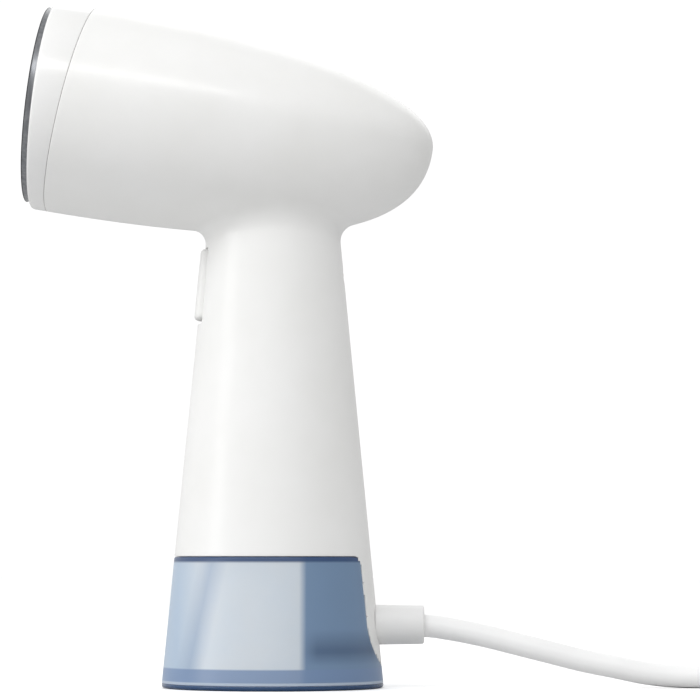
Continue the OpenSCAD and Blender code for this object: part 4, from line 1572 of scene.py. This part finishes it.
    def build(self, wardrobe: Wardrobe) -> None:
        """Builds both halves."""
        skin = self.openings(self.trim_front(self.trim_base(FORM.mesh(self.net))))
        for side, name in ((Side.LEFT, "left_housing"), (Side.RIGHT, "right_housing")):
            part = self.half(skin, side)
            outwards = FORM.normal(part.points)
            plain = part.points[:, 2] < self.plain_top
            outwards[plain] = FORM.oval.normal(part.points[plain])
            shell = part.wall(self.lip, part.points - outwards * self.wall, outwards)
            points, faces = together([shell, self.floor(side), *self.posts(side)])
            obj = make_object(f"{name}_shell", points, faces, 38.0)
            wardrobe.place(obj, "shell_white", "body", name)
            box = make_object(f"{name}_spine", *self.spine(side), 38.0)
            wardrobe.place(box, "shell_white", "body", name)


@dataclass
class FrontRing:
    """The slanting ring that carries the soleplate."""

    sides: int = 256
    gap: float = 0.1 * MM

    def build(self, wardrobe: Wardrobe) -> bpy.types.Object:
        """Builds the ring as one closed band round the head."""
        head = FORM.head
        joint = 8.9 * MM - self.gap
        profile = [("joint", 0.3), ("edge", 0.06), ("back", 0.0), (3.0, 0.0), (1.1, 0.0), (0.55, 0.07),
                   (0.2, 0.25), (0.03, 0.55), (0.0, 0.85), (0.1, 1.12), (0.35, 1.2), (3.0, 1.2),
                   (3.0, 3.8), (16.0, 3.8), (16.0, 3.0), ("joint", 3.0)]
        angles = np.linspace(0, 2 * math.pi, self.sides, endpoint=False)
        rings = []
        for place, inset in profile:
            along = np.full(self.sides, place * MM if isinstance(place, float) else joint)
            for _ in range(3):
                up, down, wide = head.section(along)
                tall = np.where(np.sin(angles) > 0, up, down) - inset * MM
                height = head.ridge(along) + tall * np.sin(angles)
                if isinstance(place, str):
                    behind = {"joint": 0.0, "edge": 0.12, "back": 0.4}[place] * MM
                    along = joint + 0.12 * height - behind
            rings.append(head.to_row(np.stack([along, (wide - inset * MM) * np.cos(angles), height], 1)))
        points, faces = loft(rings, closed=True)
        obj = make_object("soleplate_ring", points, faces, 35.0)
        return wardrobe.place(obj, "ring_white", "body", "front_ring")


@dataclass
class Soleplate:
    """The domed metal plate and its steam holes."""

    half_width: float = 37.5 * MM
    half_height: float = 31 * MM
    dome: float = 1 * MM
    front: float = -2 * MM
    back: float = 2 * MM
    lip: float = 0.45 * MM
    hole: float = 1.5 * MM

    def holes(self) -> list[tuple[float, float]]:
        """Where the steam holes are: one in the middle and two rings round it."""
        inner = [(13 * math.cos(math.radians(60 * i + 30)), 10.5 * math.sin(math.radians(60 * i + 30)))
                 for i in range(6)]
        outer = [(25 * math.cos(math.radians(30 * i + 15)), 20 * math.sin(math.radians(30 * i + 15)))
                 for i in range(12)]
        return [(y * MM, v * MM) for y, v in [(0.0, 0.0), *inner, *outer]]

    def build(self, wardrobe: Wardrobe) -> bpy.types.Object:
        """Builds the plate, with every hole's edge rounded."""
        sides, count = 128, 26
        angles = np.linspace(0, 2 * math.pi, sides, endpoint=False)
        rings = []
        for share in np.linspace(1, 1 / count, count):
            wide, tall = self.half_width - self.lip, self.half_height - self.lip
            rings.append(np.stack([np.full(sides, -self.dome * (1 - share * share)),
                                   share * wide * np.cos(angles), share * tall * np.sin(angles)], 1))
        points, faces = loft(rings, capped=False)
        middle = len(points)
        points = np.vstack([points, [[-self.dome, 0, 0]]])
        last = (count - 1) * sides
        faces += [(last + k, last + (k + 1) % sides, middle) for k in range(sides)]
        plate = Sheet(points, faces)
        for y, v in self.holes():
            ring = ellipse_points((y, v), (self.hole + self.lip,) * 2, 20)
            plate.cut_outline(ring, Axis.X, lambda c: np.ones(len(c), bool))
        plate.points[:, 0] += self.front
        back = plate.points.copy()
        back[:, 0] = self.back
        outwards = np.tile((-1.0, 0.0, 0.0), (len(plate.points), 1))
        points, faces = plate.wall(self.lip, back, outwards)
        obj = make_object("steam_soleplate", FORM.head.to_row(points), faces, 35.0)
        return wardrobe.place(obj, "soleplate_metal", "body", "steam_plate")


# ---- Tank ----


@dataclass
class Tank:
    """The clip-off water tank: a frosted shell with rear skirts, on a deeper blue base."""

    top: float = 40.5 * MM
    wall: float = 2 * MM
    rim: float = 1.5 * MM
    lip: float = 0.3 * MM
    edge: float = 0.5 * MM
    sides: int = 224
    partition: tuple[float, float] = (9.5 * MM, 11 * MM)
    notch_half: float = 12.5 * MM
    notch_z: float = 19.5 * MM
    corner: float = 3 * MM
    mouth: tuple[float, float] = (-10 * MM, 11.05 * MM)

    def skin(self) -> Sheet:
        """The outer surface before it is cut: the side, the rounded edge and the top."""
        oval = FORM.oval
        rings = [oval.ring(z, 0, self.sides)
                 for z in np.linspace(self.rim + self.lip, self.top - self.edge, 36)]
        for a in np.linspace(0, math.pi / 2, 5)[1:]:
            rings.append(oval.ring(self.top - self.edge * (1 - math.sin(a)),
                                   self.edge * (1 - math.cos(a)), self.sides))
        rim = oval.ring(self.top, self.edge, self.sides)
        for share in np.linspace(1, 0, 24)[1:-1]:
            rings.append(rim * np.array((share, share, 1)))
        points, faces = loft(rings, capped=False)
        middle = len(points)
        points = np.vstack([points, [[0, 0, self.top]]])
        last = (len(rings) - 1) * self.sides
        faces += [(last + k, last + (k + 1) % self.sides, middle) for k in range(self.sides)]
        return Sheet(points, faces)

    def inner(self, points: np.ndarray) -> np.ndarray:
        """Where each outer point lies on the inner face."""
        oval = FORM.oval
        reach = oval.radius(points[:, 2])
        angle = np.arctan2(points[:, 1] / oval.ratio, points[:, 0])
        share = np.hypot(points[:, 0], points[:, 1] / oval.ratio)
        deep = np.minimum(share, reach - self.wall)
        wide = np.minimum(share * oval.ratio, oval.ratio * reach - self.wall)
        return np.stack([deep * np.cos(angle), wide * np.sin(angle),
                         np.minimum(points[:, 2], self.top - self.wall)], axis=1)

    def notch(self, skin: Sheet) -> Sheet:
        """Cuts the rear notch for the spine, with its two rounded corners."""
        half = self.notch_half + self.lip
        arc = [(half * math.cos(a), self.notch_z + half * math.sin(a))
               for a in np.linspace(math.pi, 2 * math.pi, 29)]
        outline = [*arc, (half, self.top + 5 * MM), (-half, self.top + 5 * MM)]
        radius = self.corner - self.lip
        high = self.top - self.lip
        square = [(half, high - radius), (half + radius, high - radius), (half + radius, high + MM),
                  (half, high + MM)]
        disc = ellipse_points((square[1][0], square[0][1]), (radius, radius), 48)
        planes = []
        for (y0, z0), (y1, z1) in zip(disc[12:24], disc[13:25]):
            for side in (-1, 1):
                planes.append(((0, side * y0, z0), (0, side * (z1 - z0), y0 - y1)))

        def near(centres: np.ndarray) -> np.ndarray:
            """The two corners at the notch's mouth."""
            return (centres[:, 0] > 15 * MM) & (centres[:, 2] > high - radius - MM)

        def drop(centres: np.ndarray) -> np.ndarray:
            """What lies in the corners, outside their rounds."""
            flat = np.stack([np.abs(centres[:, 1]), centres[:, 2]], axis=1)
            return within(square, flat) & ~within(disc, flat) & (centres[:, 0] > 15 * MM)

        skin.cut_outline(outline, Axis.X, lambda c: c[:, 0] > 15 * MM)
        return skin.trim(planes, drop, near)

    def shell(self, wardrobe: Wardrobe) -> bpy.types.Object:
        """Builds the frosted shell and the partition inside it."""
        skin = self.skin()
        back = self.partition[1] - self.lip
        oval = FORM.oval

        def channel(centres: np.ndarray) -> np.ndarray:
            """The top behind the partition, which is open."""
            share = np.hypot(centres[:, 0], centres[:, 1] / oval.ratio)
            on_top = centres[:, 2] > self.top - 0.01 * MM
            return on_top & (centres[:, 0] > back) & (share < oval.radius(self.top) - self.edge)

        skin.trim([((back, 0, 0), (1, 0, 0))], channel, lambda c: c[:, 2] > self.top - 0.01 * MM)
        self.notch(skin)
        hole = ellipse_points((self.mouth[0], 0), (self.mouth[1] + self.lip,) * 2, 48)
        skin.cut_outline(hole, Axis.Z, lambda c: c[:, 2] > self.top - MM)
        outer = skin.wall(self.lip, self.inner(skin.points))
        low, high = self.partition
        reach = oval.radius(20 * MM) - self.wall
        flat = (oval.ratio * oval.radius(20 * MM) - self.wall) * math.sqrt(1 - (high / reach) ** 2)
        slab = [(-flat, 4.3 * MM), (flat, 4.3 * MM), (flat - 1.2 * MM, self.top - self.wall + 0.1 * MM),
                (1.2 * MM - flat, self.top - self.wall + 0.1 * MM)]
        points, faces = together([outer, prism(slab, Axis.X, low, high)])
        obj = make_object("tank_frosted_shell", points, faces, 38.0)
        merge(obj, 2e-6)
        return wardrobe.place(obj, "tank_frosted", "tank", "tank_shell")

    def base(self, wardrobe: Wardrobe) -> bpy.types.Object:
        """Builds the base, with a raised floor inside the shell."""
        oval = FORM.oval
        rings = [oval.ring(z * MM, inset * MM, self.sides) for z, inset in (
            (0, 1.3), (0.08, 0.85), (0.3, 0.4), (0.65, 0.1), (1.0, 0), (1.3, 0.02), (1.45, 0.12),
            (1.5, 0.3), (1.5, 2.1), (4.3, 2.1), (4.5, 2.3))]
        points, faces = loft(rings)
        obj = make_object("tank_blue_base", points, faces, 35.0)
        return wardrobe.place(obj, "tank_base_blue", "tank", "tank_base")


def merge(obj: bpy.types.Object, distance: float) -> None:
    """Merges a mesh's doubled points and drops the faces that this flattens."""
    shape = bmesh.new()
    shape.from_mesh(obj.data)
    bmesh.ops.remove_doubles(shape, verts=shape.verts, dist=distance)
    bmesh.ops.dissolve_degenerate(shape, edges=shape.edges, dist=distance)
    shape.to_mesh(obj.data)
    shape.free()


# ---- Trigger, lamp and screws ----


@dataclass
class Trigger:
    """The steam trigger: a crowned face, its pivot knuckle and its switch nub."""

    pin: tuple[float, float] = (-14 * MM, 133 * MM)
    top: float = 136.3 * MM
    foot: float = 114.3 * MM
    top_half: float = 5.5 * MM
    foot_half: float = 7 * MM
    proud: float = 1.3 * MM
    edge: float = 1.1 * MM
    crown: float = 0.75

    def surface(self, y: np.ndarray, z: np.ndarray) -> np.ndarray:
        """How far forward the face stands."""
        reach = FORM.oval.radius(z)
        bend = np.sqrt(1 - self.crown * (y / (FORM.oval.ratio * reach)) ** 2)
        return -(reach * bend + self.proud)

    def face(self) -> tuple[np.ndarray, list[tuple[int, ...]]]:
        """The pad that a finger pulls, with a rolled edge all round."""
        corners = [(self.top_half, self.top), (-self.top_half, self.top), (-self.foot_half, self.foot),
                   (self.foot_half, self.foot)]
        outline = np.array(rounded_outline(corners, 1.5 * MM, 6))
        dense = []
        for a, b in zip(outline, np.roll(outline, -1, axis=0)):
            count = max(1, int(np.linalg.norm(b - a) / (0.8 * MM)))
            dense += [a + (b - a) * i / count for i in range(count)]
        outline = np.array(dense)
        middle = np.array((0.0, (self.top + self.foot) / 2))
        size = np.abs(outline - middle).max(axis=0)
        rings = []

        def ring(inset: float, sink: float) -> np.ndarray:
            """The outline drawn in by an inset, sunk below the face."""
            flat = middle + (outline - middle) * (1 - inset / size)
            return np.stack([self.surface(flat[:, 0], flat[:, 1]) + sink, flat[:, 0], flat[:, 1]], axis=1)

        back = ring(0, 0)
        back[:, 0] = -18 * MM
        rings.append(back)
        for a in np.linspace(0, math.pi / 2, 7):
            rings.append(ring(self.edge * (1 - math.cos(a)), self.edge * (1 - math.sin(a))))
        for share in (0.85, 0.7, 0.55, 0.4, 0.25, 0.1):
            rings.append(ring(self.edge + (size.min() - self.edge) * (1 - share), 0))
            flat = middle + (outline - middle) * share * (1 - self.edge / size)
            rings[-1] = np.stack([self.surface(flat[:, 0], flat[:, 1]), flat[:, 0], flat[:, 1]], axis=1)
        return loft(rings)

    def build(self, wardrobe: Wardrobe) -> bpy.types.Object:
        """Builds the trigger."""
        x, z = self.pin
        place = (x, 0.0, z)
        knuckle = tube_between(1.3 * MM, 2.6 * MM, -5.7 * MM, 5.7 * MM, Axis.Y, place)
        arm = prism([(129.5 * MM, -18.2 * MM), (135.2 * MM, -18.2 * MM), (134.6 * MM, -15.9 * MM),
                     (131.4 * MM, -15.9 * MM)], Axis.Y, -5.6 * MM, 5.6 * MM, 0.3 * MM)
        nub = prism(rounded_outline([(-2 * MM, 116.5 * MM), (2 * MM, 116.5 * MM), (2 * MM, 119.5 * MM),
                                     (-2 * MM, 119.5 * MM)], 0.4 * MM), Axis.X, -18.4 * MM, -15.3 * MM)
        points, faces = together([self.face(), knuckle, arm, nub])
        obj = make_object("steam_trigger", points, faces, 40.0)
        return wardrobe.place(obj, "trigger_white", "trigger", "trigger")


@dataclass
class Lamp:
    """The small amber light at the back of the handle."""

    height: float = 128 * MM
    radius: float = 2 * MM

    def build(self, wardrobe: Wardrobe) -> bpy.types.Object:
        """Builds the light pipe with its low dome."""
        end = float(FORM.oval.radius(self.height))
        profile = [(15 * MM, 0.0), (15 * MM, self.radius), (end - 0.75 * MM, self.radius)]
        for a in np.linspace(0, math.pi / 2, 8)[1:]:
            profile.append((end - 0.75 * MM + 0.65 * MM * math.sin(a), self.radius * math.cos(a)))
        obj = turned("heating_lamp", profile, Axis.X, (0.0, 0.0, self.height), 40)
        merge(obj, 2e-6)
        return wardrobe.place(obj, "lens_amber", "body", "indicator_lens")


@dataclass
class Screws:
    """The four cross-headed screws that draw the halves together."""

    seats: tuple[tuple[float, float, float], ...] = Housing.screws
    head_radius: float = 2.9 * MM
    head_height: float = 2.2 * MM
    shank_radius: float = 1.24 * MM
    slot: float = 0.8 * MM
    reach: float = 3.4 * MM

    def tree(self, material: bpy.types.Material) -> bpy.types.NodeTree:
        """Builds the Geometry Nodes tree that stands a screw on each point."""
        tree = bpy.data.node_groups.new("screw_rows", "GeometryNodeTree")
        tree.interface.new_socket("Geometry", in_out="INPUT", socket_type="NodeSocketGeometry")
        for name, value in (("Head Radius", self.head_radius), ("Head Height", self.head_height),
                            ("Shank Radius", self.shank_radius), ("Slot Width", self.slot),
                            ("Slot Length", self.reach)):
            socket = tree.interface.new_socket(name, in_out="INPUT", socket_type="NodeSocketFloat")
            socket.default_value = value
        tree.interface.new_socket("Geometry", in_out="OUTPUT", socket_type="NodeSocketGeometry")
        bench = NodeBench(tree)
        start = bench.add("NodeGroupInput")
        seats, radius, height, shank, width, length = start.outputs[:6]
        head = bench.add("GeometryNodeMeshCone", None, Vertices=40, Radius_Top=radius,
                         Radius_Bottom=radius, Depth=height).outputs["Mesh"]
        slots = []
        for first, second in ((length, width), (width, length)):
            size = bench.add("ShaderNodeCombineXYZ", None, X=first, Y=second, Z=height).outputs[0]
            cube = bench.add("GeometryNodeMeshCube", None, Size=size).outputs["Mesh"]
            slots.append(bench.add("GeometryNodeTransform", None, Geometry=cube,
                                   Translation=(0.0, 0.0, 0.6 * self.head_height + self.head_height / 2)
                                   ).outputs[0])
        cut = bench.add("GeometryNodeMeshBoolean", {"operation": "DIFFERENCE", "solver": "EXACT"})
        bench.tree.links.new(head, cut.inputs["Mesh 1"])
        raised = bench.add("GeometryNodeTransform", None, Geometry=cut.outputs["Mesh"],
                           Translation=(0.0, 0.0, 0.0))
        for slot in slots:
            bench.tree.links.new(slot, cut.inputs["Mesh 2"])
        stem = bench.add("GeometryNodeMeshCylinder", {"fill_type": "NGON"}, Vertices=24, Radius=shank,
                         Depth=12 * MM).outputs["Mesh"]
        stem = bench.add("GeometryNodeTransform", None, Geometry=stem,
                         Translation=(0.0, 0.0, -5.9 * MM)).outputs[0]
        screw = bench.add("GeometryNodeJoinGeometry")
        bench.tree.links.new(raised.outputs[0], screw.inputs[0])
        bench.tree.links.new(stem, screw.inputs[0])
        rows = bench.add("GeometryNodeInstanceOnPoints", None, Points=seats, Instance=screw.outputs[0],
                         Rotation=(-math.pi / 2, 0.0, 0.0))
        real = bench.add("GeometryNodeRealizeInstances", None, Geometry=rows.outputs[0])
        painted = bench.add("GeometryNodeSetMaterial", None, Geometry=real.outputs[0], Material=material)
        bench.add("NodeGroupOutput", None, i0=painted.outputs[0])
        return tree

    def build(self, wardrobe: Wardrobe) -> bpy.types.Object:
        """Builds the four screws as one plain mesh."""
        seats = bpy.data.meshes.new("screw_seats")
        seats.from_pydata([(x * MM, y * MM, z * MM) for x, z, y in self.seats], [], [])
        points = bpy.data.objects.new("screw_seats", seats)
        bpy.context.scene.collection.objects.link(points)
        row = points.modifiers.new("screws", "NODES")
        row.node_group = self.tree(wardrobe.get("screw_steel"))
        return finish_nodes(points, "case_screws", wardrobe, "screw_steel", "body", "housing_screws")


def finish_nodes(source: bpy.types.Object, name: str, wardrobe: Wardrobe, slot: str, body: str,
                 *nodes: str) -> bpy.types.Object:
    """Turns a Geometry Nodes result into a plain piece and fits it into the frame.

    Args:
        source: The object that holds the modifier; it is removed.
        name: The piece's name.
        wardrobe: The finishes.
        slot: The record's slot.
        body: The CAD body that it moves with.
        nodes: The CAD nodes that it stands for.

    Returns:
        The piece.
    """
    graph = bpy.context.evaluated_depsgraph_get()
    mesh = bpy.data.meshes.new_from_object(source.evaluated_get(graph))
    bpy.data.objects.remove(source)
    obj = bpy.data.objects.new(name, mesh)
    bpy.context.scene.collection.objects.link(obj)
    shade(obj, 30.0)
    return wardrobe.place(obj, slot, body, *nodes)


def main() -> None:
    """Builds the whole steamer, sub-assembly by sub-assembly."""
    logging.basicConfig(level=logging.INFO, format="%(message)s")
    wardrobe = Wardrobe()
    Studio().build()
    wardrobe.dress_frame()
    plug = Plug()
    partners = [plug.body(wardrobe), plug.pins(wardrobe), CordTie().build(wardrobe)]
    MainsCord().build(wardrobe, partners)
    Bushing().build(wardrobe)
    Housing().build(wardrobe)
    FrontRing().build(wardrobe)
    Soleplate().build(wardrobe)
    tank = Tank()
    tank.shell(wardrobe)
    tank.base(wardrobe)
    Trigger().build(wardrobe)
    Lamp().build(wardrobe)
    Screws().build(wardrobe)


if __name__ == "__main__":
    main()
